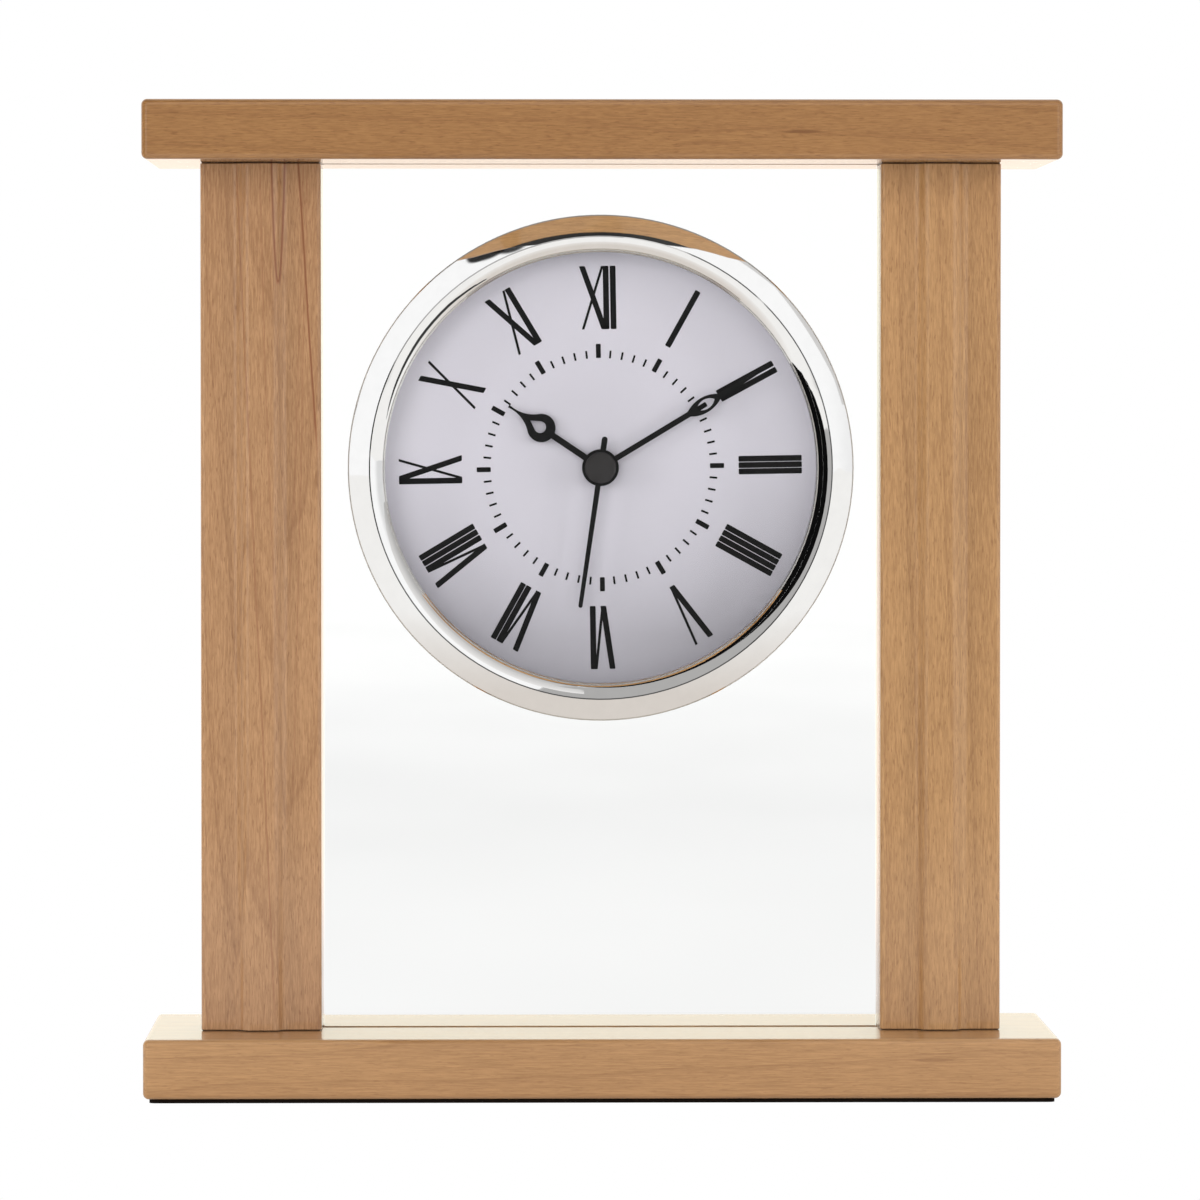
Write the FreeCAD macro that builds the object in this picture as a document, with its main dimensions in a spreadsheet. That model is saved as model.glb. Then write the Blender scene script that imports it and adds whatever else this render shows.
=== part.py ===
"""Desk clock: beech frame, glass pane and a round chromed clock insert with a quartz movement.

The frame stands on a felt pad. +X is right, the dial faces -Y and +Z is up. The origin is
the middle of the felt's underside. All sizes are millimetres and degrees.
"""
import FreeCAD, Part
import math
import os
import re

import Sketcher

# The driving sizes, each written once
SIZES = {
    # Boards and columns
    "board_depth": 60.0,
    "board_height": 12.0,
    "edge_radius": 1.2,
    "column_width": 24.4,
    "column_depth": 19.2,
    "column_height": 176.0,
    "column_inset": 10.9,
    "column_edge_radius": 0.8,
    "column_end_chamfer": 0.3,
    "band_width": 4.6,
    "band_slope_width": 3.2,
    "band_rise": 2.0,
    "felt_thickness": 0.8,
    "felt_inset": 1.2,
    "felt_corner_radius": 1.5,
    # Dowels and screws that hold the frame together
    "dowel_radius": 3.0,
    "dowel_length": 18.0,
    "dowel_rail_depth": 8.0,
    "dowel_spacing": 12.0,
    "dowel_chamfer": 0.5,
    "dowel_glue_room": 0.5,
    "screw_shank_radius": 1.75,
    "screw_head_radius": 3.6,
    "screw_length": 30.0,
    "screw_point_length": 3.0,
    "screw_spacing": 12.0,
    "screw_slot_width": 0.9,
    "screw_slot_depth": 1.0,
    # Glass pane and its grooves
    "glass_thickness": 5.0,
    "glass_side_gap": 0.4,
    "glass_top_gap": 0.5,
    "groove_depth": 4.0,
    "groove_gap": 0.2,
    # Insert: bezel, lens, cup, gasket and dial
    "bezel_side_gap": 5.35,
    "bezel_top_gap": 10.45,
    "bezel_skirt_width": 3.85,
    "bezel_rim_height": 5.0,
    "bezel_rim_chamfer": 0.25,
    "bezel_rise": 1.6,
    "bezel_inner_width": 3.0,
    "bezel_crown_radius": 46.0,
    "bezel_inner_crown_radius": 5.0,
    "bezel_ridge_flat": 0.25,
    "dial_edge_cover": 0.7,
    "bezel_inner_drop": 1.9,
    "bezel_wall": 1.0,
    "bezel_lip": 0.3,
    "bezel_fit_gap": 0.1,
    "lens_thickness": 1.5,
    "lens_overlap": 1.5,
    "lens_bevel": 0.4,
    "cup_corner_room": 3.0635,
    "cup_wall": 0.7,
    "cup_flange_width": 2.3,
    "gasket_thickness": 0.6,
    "gasket_bead_width": 1.6,
    "gasket_bead_length": 1.8,
    "spacer_thickness": 0.5,
    "hand_room": 4.6,
    "dial_thickness": 0.5,
    "dial_gap": 0.1,
    "dial_hole_gap": 0.2,
    "carrier_thickness": 1.2,
    "carrier_frame_wall": 1.0,
    "carrier_frame_length": 3.0,
    # Movement housing and battery bay
    "movement_corner_radius": 2.5,
    "movement_wall": 1.05,
    "movement_stand_out": 1.8,
    "window_gap": 0.3,
    "plate_thickness": 1.2,
    "pivot_depth": 0.8,
    "battery_radius": 7.25,
    "battery_length": 49.2,
    "battery_nub_radius": 2.75,
    "battery_nub_length": 1.3,
    "battery_gap": 0.15,
    "battery_recess": 0.4,
    "bay_wall": 0.8,
    "contact_thickness": 0.4,
    "contact_width": 9.0,
    "contact_gap": 0.1,
    "contact_bow": 1.2,
    # Wheel train
    "wheel_thickness": 0.8,
    "layer_gap": 0.5,
    "run_gap": 0.06,
    "arbor_gap": 0.38,
    "rotor_distance": 8.4,
    "third_distance": 11.0,
    "motion_distance": 9.6,
    "step_angle": 80.0,
    "rotor_angle": 130.0,
    "third_angle": 180.0,
    "motion_angle": 20.0,
    "setting_angle": 35.0,
    "rotor_teeth": 8,
    "step_teeth": 48,
    "step_pinion_teeth": 10,
    "second_teeth": 50,
    "second_pinion_teeth": 8,
    "third_teeth": 60,
    "third_pinion_teeth": 8,
    "centre_teeth": 64,
    "pipe_teeth": 12,
    "motion_teeth": 36,
    "motion_pinion_teeth": 10,
    "hour_teeth": 40,
    "setting_teeth": 12,
    "tooth_addendum_share": 0.80,
    "tooth_dedendum_share": 1.15,
    "tooth_root_width_share": 0.56,
    "tooth_tip_width_share": 0.22,
    "train_arbor_radius": 0.4,
    "second_arbor_radius": 0.6,
    "minute_pipe_radius": 1.7,
    "hour_pipe_radius": 2.5,
    "bush_wall": 0.8,
    "bush_stand_out": 0.5,
    "motion_stud_radius": 0.8,
    # Motor, bridge and circuit
    "magnet_radius": 3.2,
    "magnet_length": 1.8,
    "magnet_gap": 0.5,
    "stator_thickness": 0.8,
    "stator_neck": 0.6,
    "stator_arm_width": 3.0,
    "stator_low_arm_rise": 3.0,
    "stator_top_gap": 1.35,
    "coil_side_gap": 3.45,
    "coil_radius": 3.5,
    "coil_core_width": 3.0,
    "bobbin_wall": 0.5,
    "bobbin_gap": 1.2,
    "bridge_thickness": 1.0,
    "post_radius": 1.2,
    "post_screw_radius": 0.7,
    "post_screw_head_radius": 1.4,
    "post_screw_head_height": 0.7,
    "post_screw_length": 4.0,
    "circuit_thickness": 0.8,
    "circuit_width": 14.0,
    "circuit_height": 12.0,
    "circuit_edge_gap": 1.0,
    "circuit_post_radius": 1.0,
    "stator_post_radius": 1.0,
    "crystal_radius": 1.0,
    "crystal_length": 6.0,
    "chip_side": 4.0,
    "chip_height": 1.0,
    # Hand setting
    "setting_shaft_radius": 1.2,
    "knob_radius": 5.0,
    "knob_height": 2.8,
    "knob_gap": 0.3,
    "knob_rib_depth": 0.35,
    "knob_rib_count": 20,
    "knob_hollow_radius": 3.2,
    "knob_hollow_depth": 0.8,
    # Hands
    "hand_thickness": 0.25,
    "hand_gap": 0.65,
    "hour_hand_angle": 303.9,
    "hour_hub_radius": 3.75,
    "hour_shaft_width": 1.3,
    "hour_ring_centre": 14.5,
    "hour_ring_radius": 2.9,
    "hour_hole_radius": 1.2,
    "hour_hole_rise": 0.3,
    "hour_hole_tip_wall": 0.2,
    "hour_spear_length": 5.1,
    "hour_spear_angle": 52.0,
    "hour_spear_waist": 0.47,
    "hand_tip_width": 0.6,
    "minute_hand_angle": 58.9,
    "minute_hub_radius": 2.6,
    "minute_shaft_width": 1.15,
    "minute_loop_start": 20.3,
    "minute_loop_length": 8.7,
    "minute_loop_width": 3.2,
    "minute_hole_low_wall": 2.6,
    "minute_hole_high_wall": 1.9,
    "minute_spear_length": 7.8,
    "minute_hole_width": 2.0,
    "second_hand_length": 28.8,
    "second_hand_angle": 188.3,
    "second_tail_length": 6.4,
    "second_tail_width": 1.2,
    "second_tip_width": 0.85,
    "second_cap_radius": 3.17,
    "second_cap_height": 0.7,
    "second_cap_edge": 0.25,
    "cut_overrun": 1.0,
}

# Places and shared sizes that follow from the driving ones; the insert's own places are
# measured from the hands' axis, with y growing from the dial's side to the back
PLACES = {
    "base_top": "felt_thickness + board_height",
    "rail_bottom": "base_top + column_height",
    "axis_height": "rail_bottom - bezel_radius - bezel_top_gap",
    "column_inner": "bezel_radius + bezel_side_gap",
    "column_centre": "column_inner + column_width / 2",
    "band_slope_radius": "(band_slope_width * band_slope_width + band_rise * band_rise)"
                         " / (4 * band_rise)",
    "board_half_width": "column_inner + column_width + column_inset",
    "column_front": "-column_depth / 2",
    "dowel_column_depth": "dowel_length - dowel_rail_depth",
    "screw_head_height": "screw_head_radius - screw_shank_radius",
    "screw_column_depth": "screw_length - board_height",
    "groove_half": "glass_thickness / 2 + groove_gap",
    "glass_front": "-glass_thickness / 2",
    "glass_back": "glass_thickness / 2",
    "glass_half_width": "column_inner - glass_side_gap",
    "glass_bottom": "base_top - groove_depth",
    "glass_top": "rail_bottom + groove_depth - glass_top_gap",
    "cup_inside": "carrier_corner + cup_corner_room",
    "cup_radius": "cup_inside + cup_wall",
    "glass_hole": "cup_radius + gasket_thickness",
    "cup_flange_back": "glass_front - gasket_thickness",
    "cup_flange_front": "cup_flange_back - cup_wall",
    "cup_flange_radius": "cup_radius + cup_flange_width",
    "bezel_radius": "cup_flange_radius + bezel_skirt_width",
    "bezel_opening_radius": "cup_inside - dial_edge_cover",
    "bezel_ridge_radius": "bezel_opening_radius + bezel_inner_width",
    "flange_rib_outside": "cup_flange_radius + bezel_fit_gap + bezel_wall",
    "bezel_rim_front": "glass_front - bezel_rim_height",
    "bezel_ridge_front": "bezel_rim_front - bezel_rise",
    "bezel_lip_front": "bezel_ridge_front + bezel_inner_drop",
    "lens_front": "bezel_lip_front + bezel_lip",
    "lens_back": "lens_front + lens_thickness",
    "lens_radius": "bezel_opening_radius + lens_overlap",
    "dial_front": "lens_back + hand_room",
    "dial_back": "dial_front + dial_thickness",
    "dial_radius": "cup_inside - dial_gap",
    "spacer_inside": "dial_radius - spacer_thickness",
    "carrier_back": "dial_back + carrier_thickness",
    "plate_back": "carrier_back + plate_thickness",
    "movement_back": "plate_back + 2 * bay_radius + battery_recess",
    "movement_inside": "bay_end",
    "movement_half": "movement_inside + movement_wall",
    "carrier_inside": "movement_half + window_gap",
    "carrier_outside": "carrier_inside + carrier_frame_wall",
    "carrier_corner": "sqrt(2) * carrier_outside",
    "movement_floor": "movement_back - movement_wall",
    "cup_back": "movement_back - movement_stand_out",
    "bay_radius": "battery_radius + battery_gap",
    "bay_centre": "bay_radius - movement_inside",
    "bay_top": "bay_centre + bay_radius",
    "battery_depth": "plate_back + bay_radius",
    "battery_half": "(battery_length + battery_nub_length) / 2",
    "contact_half": "contact_width / 2",
    "bay_end": "battery_half + contact_gap + contact_bow + contact_thickness",
    "layer_step": "wheel_thickness + layer_gap",
    "layer_one": "plate_back + layer_gap",
    "layer_two": "layer_one + layer_step",
    "layer_three": "layer_two + layer_step",
    "layer_four": "layer_three + layer_step",
    "layer_five": "layer_four + layer_step",
    "layer_six": "layer_five + layer_step",
    "magnet_front": "layer_six + layer_step",
    "magnet_back": "magnet_front + magnet_length",
    "stator_front": "magnet_front + (magnet_length - stator_thickness) / 2",
    "stator_back": "stator_front + stator_thickness",
    "core_back": "stator_back + stator_thickness",
    "bridge_front": "magnet_back + layer_gap",
    "bridge_back": "bridge_front + bridge_thickness",
    "pivot_start": "plate_back - pivot_depth",
    "centre_radius": "(centre_teeth / 2 + tooth_addendum_share) * centre_module",
    "second_distance": "centre_radius + train_arbor_radius + arbor_gap",
    "step_x": "second_distance * cos(step_angle)",
    "step_z": "second_distance * sin(step_angle)",
    "rotor_x": "step_x + rotor_distance * cos(rotor_angle)",
    "rotor_z": "step_z + rotor_distance * sin(rotor_angle)",
    "third_x": "third_distance * cos(third_angle)",
    "third_z": "third_distance * sin(third_angle)",
    "motion_x": "motion_distance * cos(motion_angle)",
    "motion_z": "motion_distance * sin(motion_angle)",
    "setting_x": "motion_x + motion_distance * cos(setting_angle)",
    "setting_z": "motion_z + motion_distance * sin(setting_angle)",
    "rotor_module": "2 * rotor_distance / (rotor_teeth + step_teeth)",
    "second_module": "2 * second_distance / (step_pinion_teeth + second_teeth)",
    "third_module": "2 * third_distance / (second_pinion_teeth + third_teeth)",
    "centre_module": "2 * third_distance / (third_pinion_teeth + centre_teeth)",
    "motion_module": "2 * motion_distance / (pipe_teeth + motion_teeth)",
    "hour_module": "2 * motion_distance / (motion_pinion_teeth + hour_teeth)",
    "coil_offset": "movement_inside - coil_radius - coil_side_gap",
    "stator_high_arm_rise": "movement_inside - stator_arm_width - stator_top_gap",
    "low_arm_middle": "stator_low_arm_rise + stator_arm_width / 2",
    "bobbin_bottom": "stator_low_arm_rise + stator_arm_width + bobbin_gap",
    "bobbin_top": "stator_high_arm_rise - bobbin_gap",
    "bobbin_y": "stator_back + stator_thickness / 2",
    "bobbin_tube": "coil_core_width / 2 + bobbin_wall",
    "post_a_x": "step_x + stator_half",
    "post_a_z": "step_z + rotor_distance",
    "post_b_x": "third_x - post_radius",
    "post_b_z": "third_distance + post_radius",
    "post_c_x": "motion_x",
    "post_c_z": "-motion_distance",
    "contact_bow_radius": "(contact_half * contact_half + contact_bow * contact_bow)"
                          " / (2 * contact_bow)",
    "magnet_hole": "magnet_radius + magnet_gap",
    "stator_half": "magnet_hole + stator_neck",
    "minute_bore": "second_arbor_radius + run_gap",
    "hour_bore": "minute_pipe_radius + run_gap",
    "bush_bore": "hour_pipe_radius + run_gap",
    "bush_radius": "bush_bore + bush_wall",
    "bush_front": "dial_front - bush_stand_out",
    "hour_hand_front": "bush_front - hand_gap",
    "minute_hand_front": "hour_hand_front - hand_thickness - hand_gap",
    "second_hand_front": "minute_hand_front - hand_thickness - hand_gap",
    "knob_front": "movement_back + knob_gap",
    "hour_hole_point": "hour_ring_centre + hour_ring_radius - hour_hole_tip_wall",
    "hour_hand_length": "hour_ring_centre + hour_ring_radius + hour_spear_length",
    "minute_loop_end": "minute_loop_start + minute_loop_length",
    "minute_hole_start": "minute_loop_start + minute_hole_low_wall",
    "minute_hole_end": "minute_loop_end - minute_hole_high_wall",
    "minute_hand_length": "minute_loop_end + minute_spear_length",
    "circuit_front": "bridge_front",
    "circuit_right": "movement_inside - circuit_edge_gap",
    "circuit_left": "circuit_right - circuit_width",
    "circuit_top": "movement_inside - circuit_edge_gap",
    "circuit_bottom": "circuit_top - circuit_height",
}

FULL_TURN = 360
# Largest length in millimetres, or share of an edge, that counts as none
SLACK = 0.001
NAME_PATTERN = re.compile(r"[a-z][a-z_]*")
ORIGIN = FreeCAD.Vector(0, 0, 0)
Y_AXIS = FreeCAD.Vector(0, 1, 0)
Z_AXIS = FreeCAD.Vector(0, 0, 1)

document = FreeCAD.newDocument("desk_clock")
sheet = document.addObject("Spreadsheet::Sheet", "sizes")
parts = []


# The sheet of sizes and what is worked out from it

def fill_sheet():
    for row, (alias, value) in enumerate(SIZES.items(), start=1):
        sheet.set("A%d" % row, alias)
        sheet.set("B%d" % row, str(value))
        sheet.setAlias("B%d" % row, alias)
    document.recompute()


def bound(text):
    """The expression with each size or place in it led back to the sheet's cells."""
    def expand(match):
        word = match.group(0)
        if word in SIZES:
            return "sizes." + word
        if word in PLACES:
            return "(" + bound(PLACES[word]) + ")"
        return word
    return NAME_PATTERN.sub(expand, text)


def size(text):
    """The value that a size, a place or a sum of them has now."""
    value = sheet.evalExpression(bound(text))
    return float(getattr(value, "Value", value))


# Bodies, sketches and features

def new_body(name, height="0"):
    body = document.addObject("PartDesign::Body", name)
    body.Label = name
    if height != "0":
        body.setExpression("Placement.Base.z", bound(height))
    parts.append(body)
    return body


def origin_plane(body, role):
    for feature in body.Origin.OriginFeatures:
        if feature.Role == role:
            return feature
    raise RuntimeError("no plane " + role)


def new_sketch(body, role, level):
    """A sketch on one of the body's planes, moved along the plane's normal to level."""
    sketch = body.newObject("Sketcher::SketchObject", body.Name + "_sketch")
    sketch.AttachmentSupport = (origin_plane(body, role), [""])
    sketch.MapMode = "FlatFace"
    if level != "0":
        sketch.setExpression("AttachmentOffset.Base.z", bound(level))
    return sketch


def tie(sketch, kind, geometry, corner, text):
    """Hold one coordinate of a point, or a radius, to an expression."""
    if text == "0":
        axis = -2 if kind == "DistanceX" else -1
        sketch.addConstraint(Sketcher.Constraint("PointOnObject", geometry, corner, axis))
        return
    if kind == "Radius":
        constraint = Sketcher.Constraint(kind, geometry, size(text))
    else:
        constraint = Sketcher.Constraint(kind, geometry, corner, size(text))
    index = sketch.addConstraint(constraint)
    sketch.setExpression("Constraints[%d]" % index, bound(text))


def arc_edge(start, end, radius, side):
    """An arc from start to end whose centre is left (side 1) or right (side -1) of it."""
    chord = end - start
    half = chord.Length / 2
    left = FreeCAD.Vector(-chord.y, chord.x, 0).normalize()
    centre = (start + end) * 0.5 + left * (side * math.sqrt(radius ** 2 - half ** 2))
    first, last = (start, end) if side > 0 else (end, start)
    begin = math.atan2(first.y - centre.y, first.x - centre.x)
    finish = math.atan2(last.y - centre.y, last.x - centre.x)
    if finish < begin:
        finish += 2 * math.pi
    return Part.ArcOfCircle(Part.Circle(centre, Z_AXIS, radius), begin, finish)


def draw_outline(sketch, corners):
    """A closed outline. A corner (x, y, radius, side) starts an arc, (x, y) a line."""
    first = sketch.GeometryCount
    count = len(corners)
    spots = [FreeCAD.Vector(size(corner[0]), size(corner[1]), 0) for corner in corners]
    starts = []
    ends = []
    for index, corner in enumerate(corners):
        start = spots[index]
        end = spots[(index + 1) % count]
        is_arc = len(corner) > 2
        if is_arc:
            sketch.addGeometry(arc_edge(start, end, size(corner[2]), corner[3]), False)
        else:
            sketch.addGeometry(Part.LineSegment(start, end), False)
        turned_round = is_arc and corner[3] < 0
        starts.append(2 if turned_round else 1)
        ends.append(1 if turned_round else 2)
    for index, corner in enumerate(corners):
        after = (index + 1) % count
        sketch.addConstraint(Sketcher.Constraint(
            "Coincident", first + index, ends[index], first + after, starts[after]))
    for index, corner in enumerate(corners):
        tie(sketch, "DistanceX", first + index, starts[index], corner[0])
        tie(sketch, "DistanceY", first + index, starts[index], corner[1])
        if len(corner) > 2:
            tie(sketch, "Radius", first + index, 0, corner[2])


def draw_circle(sketch, x, y, radius):
    centre = FreeCAD.Vector(size(x), size(y), 0)
    index = sketch.addGeometry(Part.Circle(centre, Z_AXIS, size(radius)), False)
    tie(sketch, "DistanceX", index, 3, x)
    tie(sketch, "DistanceY", index, 3, y)
    tie(sketch, "Radius", index, 0, radius)


def rectangle(left, right, bottom, top):
    return [(left, bottom), (right, bottom), (right, top), (left, top)]


def square(half):
    return rectangle("-" + half, half, "-" + half, half)


def draw(sketch, loops):
    """Loops are lists of corners or circles given as (x, y, radius) tuples."""
    for loop in loops:
        if isinstance(loop, list):
            draw_outline(sketch, loop)
        else:
            draw_circle(sketch, *loop)


def pad_up(body, loops, bottom, top):
    """A solid from the XY outlines, between two heights of the body."""
    sketch = new_sketch(body, "XY_Plane", bottom)
    draw(sketch, loops)
    pad = body.newObject("PartDesign::Pad", body.Name + "_pad")
    pad.Profile = sketch
    pad.setExpression("Length", bound("(%s) - (%s)" % (top, bottom)))
    body.Tip = pad
    return pad


def cut_down(body, loops, top, bottom):
    """The XY outlines cut away from top down to bottom."""
    sketch = new_sketch(body, "XY_Plane", top)
    draw(sketch, loops)
    return add_pocket(body, sketch, "(%s) - (%s)" % (top, bottom))


def pad_back(body, loops, front, back):
    """A solid from the XZ outlines, from front to back along +Y."""
    sketch = new_sketch(body, "XZ_Plane", "-(%s)" % front)
    draw(sketch, loops)
    pad = body.newObject("PartDesign::Pad", body.Name + "_pad")
    pad.Profile = sketch
    pad.Reversed = True
    pad.setExpression("Length", bound("(%s) - (%s)" % (back, front)))
    body.Tip = pad
    return pad


def cut_back(body, loops, front, back):
    """The XZ outlines cut away from front to back along +Y."""
    sketch = new_sketch(body, "XZ_Plane", "-(%s)" % front)
    draw(sketch, loops)
    return add_pocket(body, sketch, "(%s) - (%s)" % (back, front))


def add_pocket(body, sketch, depth):
    before = body.Tip
    pocket = body.newObject("PartDesign::Pocket", body.Name + "_pocket")
    pocket.Profile = sketch
    pocket.setExpression("Length", bound(depth))
    body.Tip = pocket
    document.recompute()
    if pocket.Shape.Volume >= before.Shape.Volume:
        raise RuntimeError("a pocket of %s cuts nothing" % body.Label)
    return pocket


def turn(body, outline, feature="Revolution"):
    """The (radius, y) outline turned about the body's Y axis."""
    sketch = new_sketch(body, "XY_Plane", "0")
    draw_outline(sketch, outline)
    turned = body.newObject("PartDesign::" + feature, body.Name + "_turned")
    turned.Profile = sketch
    turned.ReferenceAxis = (sketch, ["V_Axis"])
    turned.Angle = FULL_TURN
    body.Tip = turned
    return turned


def edges_along(feature, direction):
    """Names of the feature's straight edges that run along a direction."""
    names = []
    for number, edge in enumerate(feature.Shape.Edges, start=1):
        first = edge.Vertexes[0].Point
        last = edge.Vertexes[-1].Point
        run = last - first
        if isinstance(edge.Curve, Part.Line) and run.cross(direction).Length < run.Length * SLACK:
            names.append("Edge%d" % number)
    return names


def level_edges(feature, height):
    """Names of the feature's edges that lie at one height."""
    names = []
    for number, edge in enumerate(feature.Shape.Edges, start=1):
        box = edge.BoundBox
        if box.ZLength < SLACK and math.isclose(box.ZMin, height, abs_tol=SLACK):
            names.append("Edge%d" % number)
    return names


def soften(body, kind, edges, amount):
    """A Fillet or Chamfer of the body's last feature on the named edges."""
    before = body.Tip
    feature = body.newObject("PartDesign::" + kind, body.Name + "_" + kind.lower())
    feature.Base = (before, edges)
    feature.setExpression("Radius" if kind == "Fillet" else "Size", bound(amount))
    body.Tip = feature
    return feature


def coded_part(name, shape, x="0", y="0", z="axis_height"):
    """A sub-part whose shape is worked out in code, placed by named places."""
    part = document.addObject("Part::Feature", name)
    part.Label = name
    part.Shape = shape
    place = FreeCAD.Placement(FreeCAD.Vector(size(x), size(y), size(z)), FreeCAD.Rotation())
    part.Placement = place.multiply(shape.Placement)
    parts.append(part)
    return part


def rod(radius, front, back, x="0", z="0"):
    """A cylinder along +Y between two depths."""
    start = FreeCAD.Vector(size(x), size(front), size(z))
    return Part.makeCylinder(size(radius), size(back) - size(front), start, Y_AXIS)


# Frame: boards, columns, felt and the fasteners in them

def column_spots(spacing):
    """Where pairs of pins stand in the columns, as (x, y) expressions."""
    spots = []
    for side in ("-", ""):
        for step in ("-", "+"):
            spots.append(("%scolumn_centre %s %s / 2" % (side, step, spacing), "0"))
    return spots


def board_outline(inset="0"):
    half_width = "board_half_width - %s" % inset
    half_depth = "board_depth / 2 - %s" % inset
    return rectangle("-(%s)" % half_width, half_width, "-(%s)" % half_depth, half_depth)


def groove_outline():
    return rectangle("-column_inner", "column_inner", "-groove_half", "groove_half")


def round_board(body):
    document.recompute()
    every_edge = ["Edge%d" % (index + 1) for index in range(len(body.Tip.Shape.Edges))]
    soften(body, "Fillet", every_edge, "edge_radius")


def make_base_board():
    body = new_body("base_board", "felt_thickness")
    pad_up(body, [board_outline()], "0", "board_height")
    round_board(body)
    cut_down(body, [groove_outline()], "board_height", "board_height - groove_depth")
    shanks = [(x, y, "screw_shank_radius") for x, y in column_spots("screw_spacing")]
    cut_down(body, shanks, "board_height", "0")
    for x, y in column_spots("screw_spacing"):
        countersink(body, x)


def countersink(body, x):
    """A cone for a screw's head, cut from below about an upright line at x."""
    sketch = new_sketch(body, "XZ_Plane", "0")
    draw_outline(sketch, [(x, "0"), ("%s + screw_head_radius" % x, "0"),
                          (x, "screw_head_radius")])
    cone = body.newObject("PartDesign::Groove", body.Name + "_countersink")
    cone.Profile = sketch
    cone.ReferenceAxis = (sketch, ["Edge3"])
    cone.Angle = FULL_TURN
    body.Tip = cone


def make_top_rail():
    body = new_body("top_rail", "rail_bottom")
    pad_up(body, [board_outline()], "0", "board_height")
    round_board(body)
    cut_down(body, [groove_outline()], "groove_depth", "0")
    holes = [(x, y, "dowel_radius") for x, y in column_spots("dowel_spacing")]
    cut_down(body, holes, "dowel_rail_depth + dowel_glue_room", "0")


def make_base_felt():
    body = new_body("base_felt")
    pad_up(body, [board_outline("felt_inset")], "0", "felt_thickness")
    document.recompute()
    soften(body, "Fillet", edges_along(body.Tip, Z_AXIS), "felt_corner_radius")


def column_outline(side):
    """Section of a column: its front rises to a flat band in two S-shaped slopes."""
    centre = "%scolumn_centre" % side
    left = "%s - column_width / 2" % centre
    right = "%s + column_width / 2" % centre
    band_left = "%s - band_width / 2" % centre
    band_right = "%s + band_width / 2" % centre
    band_front = "column_front - band_rise"
    slope_middle = "column_front - band_rise / 2"
    return [
        (left, "column_front"),
        ("%s - band_slope_width" % band_left, "column_front", "band_slope_radius", -1),
        ("%s - band_slope_width / 2" % band_left, slope_middle, "band_slope_radius", 1),
        (band_left, band_front),
        (band_right, band_front, "band_slope_radius", 1),
        ("%s + band_slope_width / 2" % band_right, slope_middle, "band_slope_radius", -1),
        ("%s + band_slope_width" % band_right, "column_front"),
        (right, "column_front"),
        (right, "-column_front"),
        (left, "-column_front"),
    ]


def corner_edges(column):
    """The column's four outer upright edges, at the ends of its width and depth."""
    box = column.Shape.BoundBox
    back = size("-column_front")
    names = []
    for name in edges_along(column, Z_AXIS):
        spot = column.Shape.getElement(name).CenterOfMass
        at_side = min(spot.x - box.XMin, box.XMax - spot.x) < size("column_edge_radius")
        if at_side and math.isclose(abs(spot.y), back, abs_tol=size("column_end_chamfer")):
            names.append(name)
    return names


def make_column(name, side):
    body = new_body(name, "base_top")
    pad_up(body, [column_outline(side)], "0", "column_height")
    document.recompute()
    soften(body, "Fillet", corner_edges(body.Tip), "column_edge_radius")
    document.recompute()
    ends = level_edges(body.Tip, 0) + level_edges(body.Tip, size("column_height"))
    soften(body, "Chamfer", ends, "column_end_chamfer")
    pair = slice(0, 2) if side else slice(2, 4)
    dowels = [(x, y, "dowel_radius") for x, y in column_spots("dowel_spacing")[pair]]
    depth = "dowel_column_depth + dowel_glue_room"
    cut_down(body, dowels, "column_height", "column_height - (%s)" % depth)
    screws = [(x, y, "screw_shank_radius") for x, y in column_spots("screw_spacing")[pair]]
    cut_down(body, screws, "screw_column_depth", "0")


def turned_solid(points):
    """A solid of revolution about Z from (radius, z) expressions."""
    spots = [FreeCAD.Vector(size(radius), 0, size(height)) for radius, height in points]
    wire = Part.makePolygon(spots + spots[:1])
    return Part.Face(wire).revolve(ORIGIN, Z_AXIS, FULL_TURN)


def copies(solid, spots, height):
    moved = []
    for x, y in spots:
        piece = solid.copy()
        piece.translate(FreeCAD.Vector(size(x), size(y), size(height)))
        moved.append(piece)
    return Part.makeCompound(moved)


def make_column_dowels():
    dowel = turned_solid([
        ("0", "0"), ("dowel_radius - dowel_chamfer", "0"), ("dowel_radius", "dowel_chamfer"),
        ("dowel_radius", "dowel_length - dowel_chamfer"),
        ("dowel_radius - dowel_chamfer", "dowel_length"), ("0", "dowel_length")])
    bottom = "rail_bottom - dowel_column_depth"
    coded_part("column_dowels", copies(dowel, column_spots("dowel_spacing"), bottom), z="0")


def make_base_screws():
    screw = turned_solid([
        ("0", "0"), ("screw_head_radius", "0"), ("screw_shank_radius", "screw_head_height"),
        ("screw_shank_radius", "screw_length - screw_point_length"), ("0", "screw_length")])
    slot = Part.makeBox(2 * size("screw_head_radius"), size("screw_slot_width"),
                        size("screw_slot_depth"))
    slot.translate(FreeCAD.Vector(-size("screw_head_radius"), -size("screw_slot_width / 2"), 0))
    screws = copies(screw.cut(slot), column_spots("screw_spacing"), "felt_thickness")
    coded_part("base_screws", screws, z="0")


# Glass pane and the parts that stand in its hole

def make_glass_pane():
    body = new_body("glass_pane")
    edge = rectangle("-glass_half_width", "glass_half_width", "glass_bottom", "glass_top")
    pad_back(body, [edge, ("0", "axis_height", "glass_hole")], "glass_front", "glass_back")


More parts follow.
